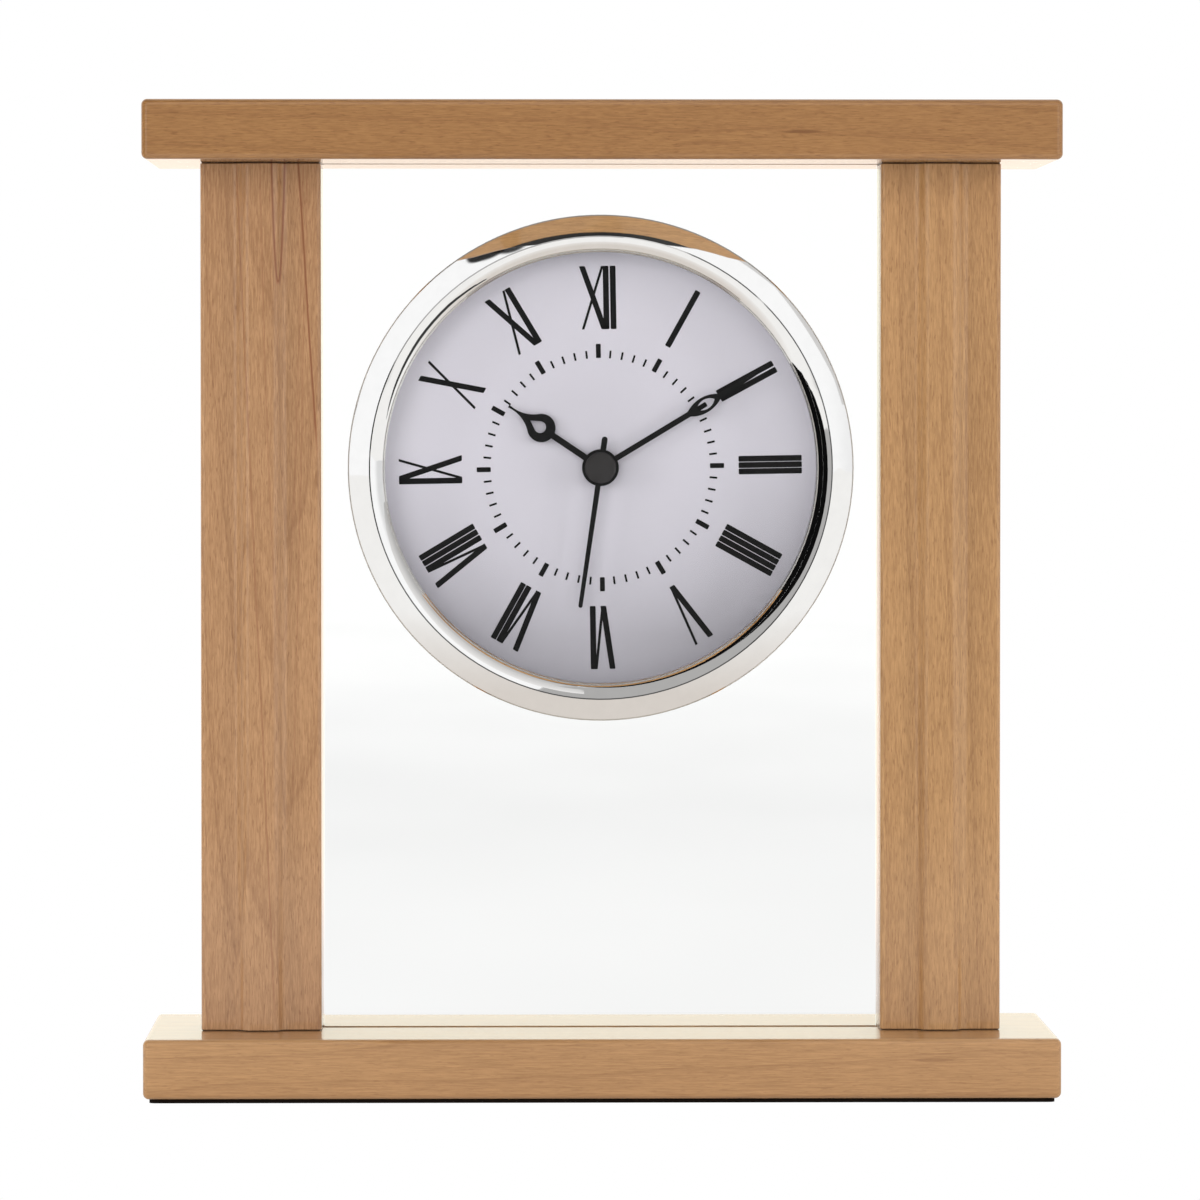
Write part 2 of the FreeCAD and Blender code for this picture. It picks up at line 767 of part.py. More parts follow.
def make_hole_gasket():
    body = new_body("hole_gasket", "axis_height")
    bead_radius = "glass_hole + gasket_bead_width"
    bead_back = "glass_back + gasket_bead_length"
    turn(body, [
        ("cup_radius", "cup_flange_back"), ("cup_flange_radius", "cup_flange_back"),
        ("cup_flange_radius", "glass_front"), ("glass_hole", "glass_front"),
        ("glass_hole", "glass_back"), (bead_radius, "glass_back"),
        ("glass_hole", bead_back), ("cup_radius", bead_back)])


def make_insert_cup():
    body = new_body("insert_cup", "axis_height")
    turn(body, [
        ("cup_inside", "cup_flange_front"), ("cup_flange_radius", "cup_flange_front"),
        ("cup_flange_radius", "cup_flange_back"), ("cup_radius", "cup_flange_back"),
        ("cup_radius", "cup_back"), ("0", "cup_back"),
        ("0", "cup_back - cup_wall"), ("cup_inside", "cup_back - cup_wall")])
    cut_back(body, [square("carrier_inside")],
             "cup_back - cup_wall - cut_overrun", "cup_back + cut_overrun")


def make_bezel_ring():
    body = new_body("bezel_ring", "axis_height")
    seat = "lens_radius + bezel_fit_gap"
    flange_seat = "cup_flange_radius + bezel_fit_gap"
    wall_inside = "bezel_radius - bezel_wall"
    turn(body, [
        ("bezel_radius", "glass_front"),
        ("bezel_radius", "bezel_rim_front + bezel_rim_chamfer"),
        ("bezel_radius - bezel_rim_chamfer", "bezel_rim_front", "bezel_crown_radius", -1),
        ("bezel_ridge_radius + bezel_ridge_flat", "bezel_ridge_front"),
        ("bezel_ridge_radius", "bezel_ridge_front", "bezel_inner_crown_radius", -1),
        ("bezel_opening_radius", "bezel_lip_front"),
        ("bezel_opening_radius", "lens_front"),
        (seat, "lens_front"),
        (seat, "cup_flange_front"),
        (flange_seat, "cup_flange_front"),
        (flange_seat, "glass_front"),
        ("flange_rib_outside", "glass_front"),
        ("flange_rib_outside", "bezel_rim_front + bezel_wall"),
        (wall_inside, "bezel_rim_front + bezel_wall"),
        (wall_inside, "glass_front")])


def make_lens_glass():
    body = new_body("lens_glass", "axis_height")
    turn(body, [
        ("0", "lens_front"), ("lens_radius - lens_bevel", "lens_front"),
        ("lens_radius", "lens_front + lens_bevel"), ("lens_radius", "lens_back"),
        ("0", "lens_back")])


def make_spacer_ring():
    body = new_body("spacer_ring", "axis_height")
    turn(body, [("spacer_inside", "lens_back"), ("dial_radius", "lens_back"),
                ("dial_radius", "dial_front"), ("spacer_inside", "dial_front")])


def make_dial_plate():
    body = new_body("dial_plate", "axis_height")
    hole = "bush_radius + dial_hole_gap"
    pad_back(body, [("0", "0", "dial_radius"), ("0", "0", hole)], "dial_front", "dial_back")


def make_dial_carrier():
    body = new_body("dial_carrier", "axis_height")
    hole = "bush_radius + dial_hole_gap"
    pad_back(body, [("0", "0", "dial_radius"), ("0", "0", hole)], "dial_back", "carrier_back")
    frame = [square("carrier_outside"), square("carrier_inside")]
    pad_back(body, frame, "carrier_back", "carrier_back + carrier_frame_length")


# Movement: plates, case and the posts between them

POST_PLACES = (("post_a_x", "post_a_z"), ("post_b_x", "post_b_z"), ("post_c_x", "post_c_z"))


def make_movement_front_plate():
    body = new_body("movement_front_plate", "axis_height")
    pad_back(body, [square("movement_half")], "carrier_back", "plate_back")
    document.recompute()
    soften(body, "Fillet", edges_along(body.Tip, Y_AXIS), "movement_corner_radius")
    pad_back(body, [("0", "0", "bush_radius")], "bush_front", "carrier_back")
    cut_back(body, [("0", "0", "bush_bore")], "bush_front", "plate_back")
    pad_back(body, [("motion_x", "motion_z", "motion_stud_radius")],
             "plate_back", "layer_two + wheel_thickness")
    posts = [(x, z, "post_radius") for x, z in POST_PLACES]
    pad_back(body, posts, "plate_back", "bridge_front")
    threads = [(x, z, "post_screw_radius") for x, z in POST_PLACES]
    cut_back(body, threads, "bridge_back - post_screw_length", "bridge_front")
    pivots = [(x, z, "train_arbor_radius + run_gap")
              for x, z in (("third_x", "third_z"), ("step_x", "step_z"), ("rotor_x", "rotor_z"))]
    cut_back(body, pivots, "pivot_start", "plate_back")


def make_train_bridge():
    """The plate that carries the rear ends of the arbors, screwed to three posts."""
    body = new_body("train_bridge", "axis_height")
    reach = "(post_radius + bridge_thickness)"
    low = "post_c_z - post_radius / 2"
    high = "rotor_z + " + reach
    outline = [
        ("third_x - %s" % reach, "third_z - %s" % reach),
        ("post_c_x - %s" % reach, low),
        ("post_c_x + %s" % reach, low),
        ("post_c_x + %s" % reach, "post_c_z + %s" % reach),
        ("step_x + %s" % reach, "step_z - rotor_distance"),
        ("post_a_x + %s" % reach, "post_a_z - %s" % reach),
        ("post_a_x + %s" % reach, "post_a_z + %s" % reach),
        ("rotor_x - %s" % reach, high),
        ("post_b_x - %s" % reach, "post_b_z + %s" % reach),
    ]
    pad_back(body, [outline], "bridge_front", "bridge_back")
    stator_posts = [("rotor_x - rotor_distance", "low_arm_middle", "stator_post_radius"),
                    ("rotor_x", "rotor_z - rotor_distance", "stator_post_radius")]
    pad_back(body, stator_posts, "stator_back", "bridge_front")
    bores = [("third_x", "third_z", "train_arbor_radius + run_gap"),
             ("step_x", "step_z", "train_arbor_radius + run_gap"),
             ("rotor_x", "rotor_z", "train_arbor_radius + run_gap"),
             ("0", "0", "second_arbor_radius + run_gap")]
    bores += [(x, z, "post_screw_radius") for x, z in POST_PLACES]
    cut_back(body, bores, "bridge_front", "bridge_back")


def make_bridge_screws():
    screws = []
    for x, z in POST_PLACES:
        shank = rod("post_screw_radius", "bridge_back - post_screw_length", "bridge_back", x, z)
        head = rod("post_screw_head_radius", "bridge_back",
                   "bridge_back + post_screw_head_height", x, z)
        screws.append(shank.fuse(head))
    coded_part("bridge_screws", Part.makeCompound(screws))


def make_movement_rear_case():
    body = new_body("movement_rear_case", "axis_height")
    pad_back(body, [square("movement_half")], "plate_back", "movement_back")
    document.recompute()
    soften(body, "Fillet", edges_along(body.Tip, Y_AXIS), "movement_corner_radius")
    train_room = rectangle("-movement_inside", "movement_inside",
                           "bay_top + bay_wall", "movement_inside")
    cut_back(body, [train_room], "plate_back", "movement_floor")
    bay = rectangle("-bay_end", "bay_end", "-movement_inside", "bay_top")
    cut_back(body, [bay], "plate_back", "movement_back")
    board_back = "circuit_front + circuit_thickness"
    board_posts = [("circuit_left + chip_side / 2", "circuit_bottom + chip_side / 2",
                    "circuit_post_radius"),
                   ("circuit_right - chip_side / 2", "circuit_top - chip_side / 2",
                    "circuit_post_radius")]
    pad_back(body, board_posts, board_back, "movement_floor")
    shaft_hole = ("setting_x", "setting_z", "setting_shaft_radius + run_gap")
    cut_back(body, [shaft_hole], "movement_floor", "movement_back")


def make_contact(name, side):
    """A bowed leaf that stands at one end of the battery bay."""
    body = new_body(name, "axis_height")
    outer = "%sbay_end" % side
    inner = "%s(bay_end - contact_thickness)" % side
    inward = -1 if side else 1
    top = "bay_centre + contact_half"
    bottom = "bay_centre - contact_half"
    bow = "contact_bow_radius"
    outline = [(outer, bottom, bow, -inward), (outer, top),
               (inner, top, bow, inward), (inner, bottom)]
    pad_back(body, [outline], "battery_depth - contact_half", "battery_depth + contact_half")


def make_battery_cell():
    """The cell lies across the bay with its nub to the right."""
    body = new_body("battery_cell", "axis_height + bay_centre")
    body.setExpression("Placement.Base.y", bound("battery_depth"))
    sketch = new_sketch(body, "XY_Plane", "0")
    shoulder = "battery_half - battery_nub_length"
    draw_outline(sketch, [
        ("-battery_half", "0"), ("battery_half", "0"), ("battery_half", "battery_nub_radius"),
        (shoulder, "battery_nub_radius"), (shoulder, "battery_radius"),
        ("-battery_half", "battery_radius")])
    cell = body.newObject("PartDesign::Revolution", body.Name + "_turned")
    cell.Profile = sketch
    cell.ReferenceAxis = (sketch, ["H_Axis"])
    cell.Angle = FULL_TURN
    body.Tip = cell


# Stepping motor and circuit

def make_stator_plate():
    """A flat fork round the magnet, with two arms that reach the coil's core."""
    body = new_body("stator_plate", "axis_height")
    left = "rotor_x - stator_half"
    right = "rotor_x + stator_half"
    arm_end = "-coil_offset - coil_core_width / 2"
    low_top = "stator_low_arm_rise + stator_arm_width"
    high_top = "stator_high_arm_rise + stator_arm_width"
    outline = [
        (arm_end, "stator_low_arm_rise"), (right, "stator_low_arm_rise"), (right, high_top),
        (arm_end, high_top), (arm_end, "stator_high_arm_rise"), (left, "stator_high_arm_rise"),
        (left, low_top), (arm_end, low_top)]
    pad_back(body, [outline, ("rotor_x", "rotor_z", "magnet_hole")],
             "stator_front", "stator_back")


def core_outline():
    half = "coil_core_width / 2"
    return rectangle("-coil_offset - %s" % half, "-coil_offset + %s" % half,
                     "stator_low_arm_rise", "stator_high_arm_rise + stator_arm_width")


def make_coil_core():
    body = new_body("coil_core", "axis_height")
    pad_back(body, [core_outline()], "stator_back", "core_back")


def upright_tube(outside, inside, bottom, top):
    """A tube about the coil's upright axis."""
    base = FreeCAD.Vector(-size("coil_offset"), size("bobbin_y"), size(bottom))
    length = size(top) - size(bottom)
    tube = Part.makeCylinder(size(outside), length, base, Z_AXIS)
    if inside is None:
        return tube
    return tube.cut(Part.makeCylinder(size(inside), length, base, Z_AXIS))


def make_coil_bobbin():
    """A tube with two end cheeks, bored square for the core."""
    tube = upright_tube("bobbin_tube", None, "bobbin_bottom", "bobbin_top")
    low = upright_tube("coil_radius", None, "bobbin_bottom", "bobbin_bottom + bobbin_wall")
    high = upright_tube("coil_radius", None, "bobbin_top - bobbin_wall", "bobbin_top")
    bore = Part.makeBox(size("coil_core_width"), size("stator_thickness"),
                        size("bobbin_top") - size("bobbin_bottom"))
    bore.translate(FreeCAD.Vector(-size("coil_offset + coil_core_width / 2"),
                                  size("stator_back"), size("bobbin_bottom")))
    coded_part("coil_bobbin", tube.fuse([low, high]).cut(bore))


def make_coil_winding():
    coded_part("coil_winding", upright_tube(
        "coil_radius - bobbin_wall", "bobbin_tube",
        "bobbin_bottom + bobbin_wall", "bobbin_top - bobbin_wall"))


def make_circuit_board():
    body = new_body("circuit_board", "axis_height")
    outline = rectangle("circuit_left", "circuit_right", "circuit_bottom", "circuit_top")
    pad_back(body, [outline], "circuit_front", "circuit_front + circuit_thickness")


def make_circuit_parts():
    """The timing crystal's can and the chip, on the back of the board."""
    back = "circuit_front + circuit_thickness"
    can = Part.makeCylinder(
        size("crystal_radius"), size("crystal_length"),
        FreeCAD.Vector(size("circuit_left + chip_side"), size(back) + size("crystal_radius"),
                       size("circuit_top - 2 * crystal_radius")), FreeCAD.Vector(1, 0, 0))
    coded_part("quartz_can", can)
    body = new_body("timing_chip", "axis_height")
    left = "circuit_right - 2 * chip_side"
    bottom = "circuit_bottom + chip_side / 2"
    outline = rectangle(left, left + " + chip_side", bottom, bottom + " + chip_side")
    pad_back(body, [outline], back, back + " + chip_height")


# Wheels: straight-flanked teeth from one formula

def tooth_outline(teeth, module, phase):
    """Corners of a toothed wheel, one tooth centred on the phase angle from +X."""
    count = int(round(size(teeth)))
    pitch_radius = count * size(module) / 2
    tip = pitch_radius + size("tooth_addendum_share") * size(module)
    root = pitch_radius - size("tooth_dedendum_share") * size(module)
    step = 2 * math.pi / count
    root_half = size("tooth_root_width_share") * step / 2
    tip_half = size("tooth_tip_width_share") * step / 2
    corners = []
    for tooth in range(count):
        middle = phase + tooth * step
        for radius, turn_by in ((root, -root_half), (tip, -tip_half),
                                (tip, tip_half), (root, root_half)):
            angle = middle + turn_by
            corners.append(FreeCAD.Vector(radius * math.cos(angle), 0,
                                          radius * math.sin(angle)))
    return corners


def toothed_disc(teeth, module, phase, front, thickness="wheel_thickness"):
    corners = tooth_outline(teeth, module, phase)
    face = Part.Face(Part.makePolygon(corners + corners[:1]))
    disc = face.extrude(FreeCAD.Vector(0, size(thickness), 0))
    disc.translate(FreeCAD.Vector(0, size(front), 0))
    return disc


def meshed_phase(line_angle, teeth, phase, other_teeth):
    """Phase that puts a gap of the next wheel where this wheel's tooth meets it."""
    ratio = size(teeth) / size(other_teeth)
    return line_angle + math.pi - (phase - line_angle) * ratio + math.pi / size(other_teeth)


def fused(*solids):
    return solids[0].fuse(list(solids[1:])).removeSplitter()


def make_wheels():
    """Every toothed piece, each turned so that it meshes with the one before it."""
    step_line = math.radians(size("step_angle"))
    rotor_line = math.radians(size("rotor_angle"))
    third_line = math.radians(size("third_angle"))
    motion_line = math.radians(size("motion_angle"))
    setting_line = math.radians(size("setting_angle"))
    arbor = ("train_arbor_radius", "pivot_start", "bridge_back")

    # Seconds arbor: wheel driven by the step pinion, pinion that drives the third wheel
    coded_part("second_wheel", fused(
        rod("second_arbor_radius", "second_hand_front", "bridge_back"),
        toothed_disc("second_teeth", "second_module", 0, "layer_five"),
        toothed_disc("second_pinion_teeth", "third_module", 0, "layer_four", "layer_step")))

    step_phase = meshed_phase(step_line, "second_teeth", 0, "step_pinion_teeth")
    coded_part("step_wheel", fused(
        rod(*arbor),
        toothed_disc("step_teeth", "rotor_module", 0, "layer_six"),
        toothed_disc("step_pinion_teeth", "second_module", step_phase,
                     "layer_five", "layer_step")), "step_x", "0", "axis_height + step_z")

    rotor_phase = meshed_phase(rotor_line, "step_teeth", 0, "rotor_teeth")
    coded_part("rotor_pinion", fused(
        rod(*arbor),
        toothed_disc("rotor_teeth", "rotor_module", rotor_phase, "layer_six", "layer_step")),
        "rotor_x", "0", "axis_height + rotor_z")
    magnet = rod("magnet_radius", "magnet_front", "magnet_back")
    magnet = magnet.cut(rod("train_arbor_radius", "magnet_front", "magnet_back"))
    coded_part("rotor_magnet", magnet, "rotor_x", "0", "axis_height + rotor_z")

    third_phase = meshed_phase(third_line, "second_pinion_teeth", 0, "third_teeth")
    coded_part("third_wheel", fused(
        rod(*arbor),
        toothed_disc("third_teeth", "third_module", third_phase, "layer_four"),
        toothed_disc("third_pinion_teeth", "centre_module", 0, "layer_three", "layer_step")),
        "third_x", "0", "axis_height + third_z")

    centre_phase = meshed_phase(third_line + math.pi, "third_pinion_teeth", 0, "centre_teeth")
    centre = toothed_disc("centre_teeth", "centre_module", centre_phase, "layer_three")
    coded_part("centre_wheel", centre.cut(rod(
        "minute_pipe_radius + run_gap", "layer_three", "layer_four")))

    pipe = fused(rod("minute_pipe_radius", "minute_hand_front", "layer_three + wheel_thickness"),
                 toothed_disc("pipe_teeth", "motion_module", 0, "layer_two"))
    coded_part("minute_pipe", pipe.cut(rod("minute_bore", "minute_hand_front", "layer_four")))

    motion_phase = meshed_phase(motion_line, "pipe_teeth", 0, "motion_teeth")
    motion = fused(
        toothed_disc("motion_teeth", "motion_module", motion_phase, "layer_two"),
        toothed_disc("motion_pinion_teeth", "hour_module", 0, "layer_one", "layer_step"))
    coded_part("minute_wheel", motion.cut(rod(
        "motion_stud_radius + run_gap", "layer_one", "layer_three")),
        "motion_x", "0", "axis_height + motion_z")

    hour_phase = meshed_phase(motion_line + math.pi, "motion_pinion_teeth", 0, "hour_teeth")
    hour = fused(rod("hour_pipe_radius", "hour_hand_front", "layer_one + wheel_thickness"),
                 toothed_disc("hour_teeth", "hour_module", hour_phase, "layer_one"))
    coded_part("hour_wheel", hour.cut(rod("hour_bore", "hour_hand_front", "layer_two")))

    setting_phase = meshed_phase(setting_line, "motion_teeth", motion_phase, "setting_teeth")
    coded_part("setting_shaft", fused(
        rod("setting_shaft_radius", "layer_two", "knob_front + knob_height - knob_hollow_depth"),
        toothed_disc("setting_teeth", "motion_module", setting_phase, "layer_two")),
        "setting_x", "0", "axis_height + setting_z")


def make_setting_knob():
    """A ribbed knob with a shallow dish in its back."""
    count = int(round(size("knob_rib_count")))
    outer = size("knob_radius")
    inner = outer - size("knob_rib_depth")
    corners = []
    for index in range(2 * count):
        radius = outer if index % 2 else inner
        for place in (index, index + 1 / 2):
            angle = math.pi * place / count
            corners.append(FreeCAD.Vector(radius * math.cos(angle), 0, radius * math.sin(angle)))
    knob = Part.Face(Part.makePolygon(corners + corners[:1])).extrude(
        FreeCAD.Vector(0, size("knob_height"), 0))
    knob.translate(FreeCAD.Vector(0, size("knob_front"), 0))
    back = "knob_front + knob_height"
    knob = knob.cut(rod("knob_hollow_radius", back + " - knob_hollow_depth", back))
    knob = knob.cut(rod("setting_shaft_radius", "knob_front", back + " - knob_hollow_depth"))
    coded_part("setting_knob", knob, "setting_x", "0", "axis_height + setting_z")


# Hands: drawn pointing up, then turned clockwise to their place

def flat_spot(x, z):
    return FreeCAD.Vector(size(x), 0, size(z))


def flat_face(*edges):
    return Part.Face(Part.Wire(list(edges)))


def line(start, end):
    return Part.LineSegment(start, end).toShape()


def arc(start, middle, end):
    return Part.Arc(start, middle, end).toShape()


def flat_polygon(points):
    spots = [flat_spot(x, z) for x, z in points]
    return Part.Face(Part.makePolygon(spots + spots[:1]))


def flat_disc(radius, z="0"):
    return Part.Face(Part.Wire(Part.Circle(flat_spot("0", z), Y_AXIS, size(radius)).toShape()))


def make_hand(name, faces, holes, front, angle):
    thickness = FreeCAD.Vector(0, size("hand_thickness"), 0)
    solids = [face.extrude(thickness) for face in faces]
    hand = solids[0].fuse(solids[1:]).removeSplitter()
    for hole in holes:
        hand = hand.cut(hole.extrude(thickness))
    hand.translate(FreeCAD.Vector(0, size(front), 0))
    hand.rotate(ORIGIN, Y_AXIS, size(angle))
    coded_part(name, hand)


def shaft_face(width, bottom, top):
    half = "%s / 2" % width
    return flat_polygon([("-%s" % half, bottom), (half, bottom), (half, top), ("-%s" % half, top)])


def hour_spear():
    """The tip beyond the ring: two hollow curves that run out of the ring."""
    angle = math.radians(size("hour_spear_angle"))
    radius = size("hour_ring_radius")
    centre = size("hour_ring_centre")
    foot = FreeCAD.Vector(radius * math.sin(angle), 0, centre + radius * math.cos(angle))
    tip = flat_spot("hand_tip_width / 2", "hour_hand_length")
    waist = FreeCAD.Vector(size("hour_spear_waist"), 0, (foot.z + tip.z) / 2)

    def mirrored(spot):
        return FreeCAD.Vector(-spot.x, 0, spot.z)
    return flat_face(arc(foot, waist, tip), line(tip, mirrored(tip)),
                     arc(mirrored(tip), mirrored(waist), mirrored(foot)),
                     line(mirrored(foot), foot))


def tear_hole():
    """A round hole drawn out to a point towards the tip."""
    radius = size("hour_hole_radius")
    centre = size("hour_ring_centre") + size("hour_hole_rise")
    point = flat_spot("0", "hour_hole_point")
    reach = point.z - centre
    lean = math.asin(radius / reach)
    touch = FreeCAD.Vector(radius * math.cos(lean), 0, centre + radius * math.sin(lean))
    other = FreeCAD.Vector(-touch.x, 0, touch.z)
    bottom = FreeCAD.Vector(0, 0, centre - radius)
    return flat_face(arc(touch, bottom, other), line(other, point), line(point, touch))


def make_hour_hand():
    faces = [flat_disc("hour_hub_radius"),
             shaft_face("hour_shaft_width", "0", "hour_ring_centre - hour_hole_radius"),
             flat_disc("hour_ring_radius", "hour_ring_centre"), hour_spear()]
    make_hand("hour_hand", faces, [flat_disc("hour_pipe_radius"), tear_hole()],
              "hour_hand_front", "hour_hand_angle")


def lens_face(width, start, end):
    """A pointed oval between two heights."""
    half = "%s / 2" % width
    bottom = flat_spot("0", start)
    top = flat_spot("0", end)
    middle = "(%s + %s) / 2" % (start, end)
    return flat_face(arc(bottom, flat_spot(half, middle), top),
                     arc(top, flat_spot("-" + half, middle), bottom))


def make_minute_hand():
    faces = [flat_disc("minute_hub_radius"),
             shaft_face("minute_shaft_width", "0", "minute_hole_start"),
             lens_face("minute_loop_width", "minute_loop_start", "minute_loop_end"),
             flat_polygon([("-minute_shaft_width / 2", "minute_hole_end"),
                           ("minute_shaft_width / 2", "minute_hole_end"),
                           ("hand_tip_width / 2", "minute_hand_length"),
                           ("-hand_tip_width / 2", "minute_hand_length")])]
    hole = lens_face("minute_hole_width", "minute_hole_start", "minute_hole_end")
    make_hand("minute_hand", faces, [flat_disc("minute_pipe_radius"), hole],
              "minute_hand_front", "minute_hand_angle")


def make_second_hand():
    tail = "second_tail_width"
    tip = "second_tip_width"
    tip_middle = "second_hand_length - %s / 2" % tip
    blade = flat_polygon([("-%s / 2" % tail, "-second_tail_length + %s / 2" % tail),
                          ("%s / 2" % tail, "-second_tail_length + %s / 2" % tail),
                          ("%s / 2" % tip, tip_middle), ("-%s / 2" % tip, tip_middle)])
    ends = [flat_disc("%s / 2" % tip, tip_middle),
            flat_disc("%s / 2" % tail, "-second_tail_length + %s / 2" % tail)]
    make_hand("second_hand", [flat_disc("minute_hub_radius"), blade] + ends,
              [flat_disc("second_arbor_radius")], "second_hand_front", "second_hand_angle")


def make_second_cap():
    body = new_body("second_hand_cap", "axis_height")
    front = "second_hand_front - second_cap_height"
    turn(body, [
        ("0", front), ("second_cap_radius - second_cap_edge", front),
        ("second_cap_radius", front + " + second_cap_edge"),
        ("second_cap_radius", "second_hand_front"), ("0", "second_hand_front")])


# Build, check and write

def check_document():
    for item in document.Objects:
        if "Invalid" in item.State or "Error" in item.State:
            raise RuntimeError("%s did not recompute: %s" % (item.Name, item.State))
    for part in parts:
        if part.Shape.isNull() or not part.Shape.isValid():
            raise RuntimeError("%s has no valid shape" % part.Label)
        if not part.Shape.Solids:
            raise RuntimeError("%s has no solid" % part.Label)


def write_parts():
    os.makedirs("parts", exist_ok=True)
    for part in parts:
        part.Shape.exportStep(os.path.join("parts", part.Label + ".step"))


def build():
    fill_sheet()
    make_base_board()
    make_top_rail()
    make_base_felt()
    make_column("left_column", "-")
    make_column("right_column", "")
    make_column_dowels()
    make_base_screws()
    make_glass_pane()
    make_hole_gasket()
    make_insert_cup()
    make_bezel_ring()
    make_lens_glass()
    make_spacer_ring()
    make_dial_plate()
    make_dial_carrier()
    make_movement_front_plate()
    make_train_bridge()
    make_bridge_screws()
    make_movement_rear_case()
    make_contact("contact_minus", "-")
    make_contact("contact_plus", "")
    make_battery_cell()
    make_stator_plate()
    make_coil_core()
    make_coil_bobbin()
    make_coil_winding()
    make_circuit_board()
    make_circuit_parts()
    make_wheels()
    make_setting_knob()
    make_hour_hand()
    make_minute_hand()
    make_second_hand()
    make_second_cap()
    document.recompute()
    check_document()
    write_parts()
    for part in parts:
        print(part.Label, len(part.Shape.Solids), round(part.Shape.Volume, 2))


build()
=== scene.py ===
import math

import bmesh
import bpy
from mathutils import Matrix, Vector


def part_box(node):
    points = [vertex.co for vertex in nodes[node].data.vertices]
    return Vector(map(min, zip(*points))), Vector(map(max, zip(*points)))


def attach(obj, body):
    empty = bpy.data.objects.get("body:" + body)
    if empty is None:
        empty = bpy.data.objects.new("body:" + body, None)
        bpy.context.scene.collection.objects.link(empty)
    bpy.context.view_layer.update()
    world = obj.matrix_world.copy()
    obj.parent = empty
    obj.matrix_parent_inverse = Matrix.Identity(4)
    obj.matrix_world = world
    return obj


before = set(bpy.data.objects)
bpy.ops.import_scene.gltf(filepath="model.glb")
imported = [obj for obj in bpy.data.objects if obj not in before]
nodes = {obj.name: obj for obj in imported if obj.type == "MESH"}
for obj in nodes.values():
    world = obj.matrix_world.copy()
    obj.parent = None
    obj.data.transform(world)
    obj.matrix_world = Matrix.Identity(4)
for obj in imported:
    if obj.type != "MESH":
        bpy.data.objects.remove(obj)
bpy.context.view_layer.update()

MM = 0.001
TO_MM = 1000.0
WHITE = (1.0, 1.0, 1.0, 1.0)
DIAL_FRONT_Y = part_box("dial_plate")[0][1]
RING_LOW, RING_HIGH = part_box("bezel_ring")
RING_FRONT_Y = RING_LOW[1]
AXIS_Z = (RING_LOW[2] + RING_HIGH[2]) / 2


# Node building

class Tree:
    """One node tree, with a short call for each kind of node used here."""

    def __init__(self, owner):
        owner.use_nodes = True
        self.owner = owner
        self.nodes = owner.node_tree.nodes
        self.links = owner.node_tree.links

    def feed(self, socket, value):
        if isinstance(value, bpy.types.NodeSocket):
            self.links.new(value, socket)
        else:
            socket.default_value = value

    def node(self, kind, **settings):
        made = self.nodes.new(kind)
        for name, value in settings.items():
            setattr(made, name, value)
        return made

    def math(self, operation, *values, clamp=False):
        made = self.node("ShaderNodeMath", operation=operation, use_clamp=clamp)
        for socket, value in zip(made.inputs, values):
            self.feed(socket, value)
        return made.outputs[0]

    def place(self):
        """The surface point in the object's own frame, in millimetres."""
        made = self.node("ShaderNodeVectorMath", operation="SCALE")
        self.feed(made.inputs["Vector"], self.node("ShaderNodeTexCoord").outputs["Object"])
        self.feed(made.inputs["Scale"], TO_MM)
        return made.outputs[0]

    def split(self, vector):
        made = self.node("ShaderNodeSeparateXYZ")
        self.feed(made.inputs[0], vector)
        return made.outputs[0], made.outputs[1], made.outputs[2]

    def join(self, x, y, z):
        made = self.node("ShaderNodeCombineXYZ")
        for socket, value in zip(made.inputs, (x, y, z)):
            self.feed(socket, value)
        return made.outputs[0]

    def stretched(self, values, shares):
        """A vector of three values, each multiplied by its share."""
        return self.join(*(self.math("MULTIPLY", value, share)
                           for value, share in zip(values, shares)))

    def product(self, first, *others):
        for other in others:
            first = self.math("MULTIPLY", first, other)
        return first

    def distance(self, across, up):
        square = self.math("MULTIPLY", across, across)
        return self.math("SQRT", self.math("ADD", square, self.math("MULTIPLY", up, up)))

    def noise(self, vector, seed, scale=1.0, detail=2.0, roughness=0.5):
        made = self.node("ShaderNodeTexNoise", noise_dimensions="4D")
        for name, value in (("Vector", vector), ("W", seed), ("Scale", scale), ("Detail", detail),
                            ("Roughness", roughness)):
            self.feed(made.inputs[name], value)
        return made.outputs[0]

    def span(self, value, low, high, to_low=0.0, to_high=1.0, smooth=False):
        kind = "SMOOTHSTEP" if smooth else "LINEAR"
        made = self.node("ShaderNodeMapRange", interpolation_type=kind, clamp=True)
        for name, number in (("Value", value), ("From Min", low), ("From Max", high),
                             ("To Min", to_low), ("To Max", to_high)):
            self.feed(made.inputs[name], number)
        return made.outputs[0]

    def blend(self, factor, first, second, blend_type="MIX"):
        made = self.node("ShaderNodeMix", data_type="RGBA", blend_type=blend_type)
        self.feed(made.inputs[0], factor)
        self.feed(made.inputs[6], first)
        self.feed(made.inputs[7], second)
        return made.outputs[2]

    def bump(self, height, strength, distance):
        made = self.node("ShaderNodeBump")
        self.feed(made.inputs["Strength"], strength)
        self.feed(made.inputs["Distance"], distance)
        self.feed(made.inputs["Height"], height)
        return made.outputs[0]

    def surface(self, plain, other, factor):
        """Shows the plain shader where the factor is 0, and the other where it is 1."""
        both = self.node("ShaderNodeMixShader")
        self.feed(both.inputs[0], factor)
        self.links.new(plain.outputs[0], both.inputs[1])
        self.links.new(other.outputs[0], both.inputs[2])
        self.links.new(both.outputs[0], self.nodes["Material Output"].inputs["Surface"])


def linear(red, green, blue):
    """An sRGB colour of 0 to 255 as Blender's linear colour."""
    def one(value):
        share = value / 255
        return share / 12.92 if share <= 0.04045 else ((share + 0.055) / 1.055) ** 2.4
    return (one(red), one(green), one(blue), 1.0)


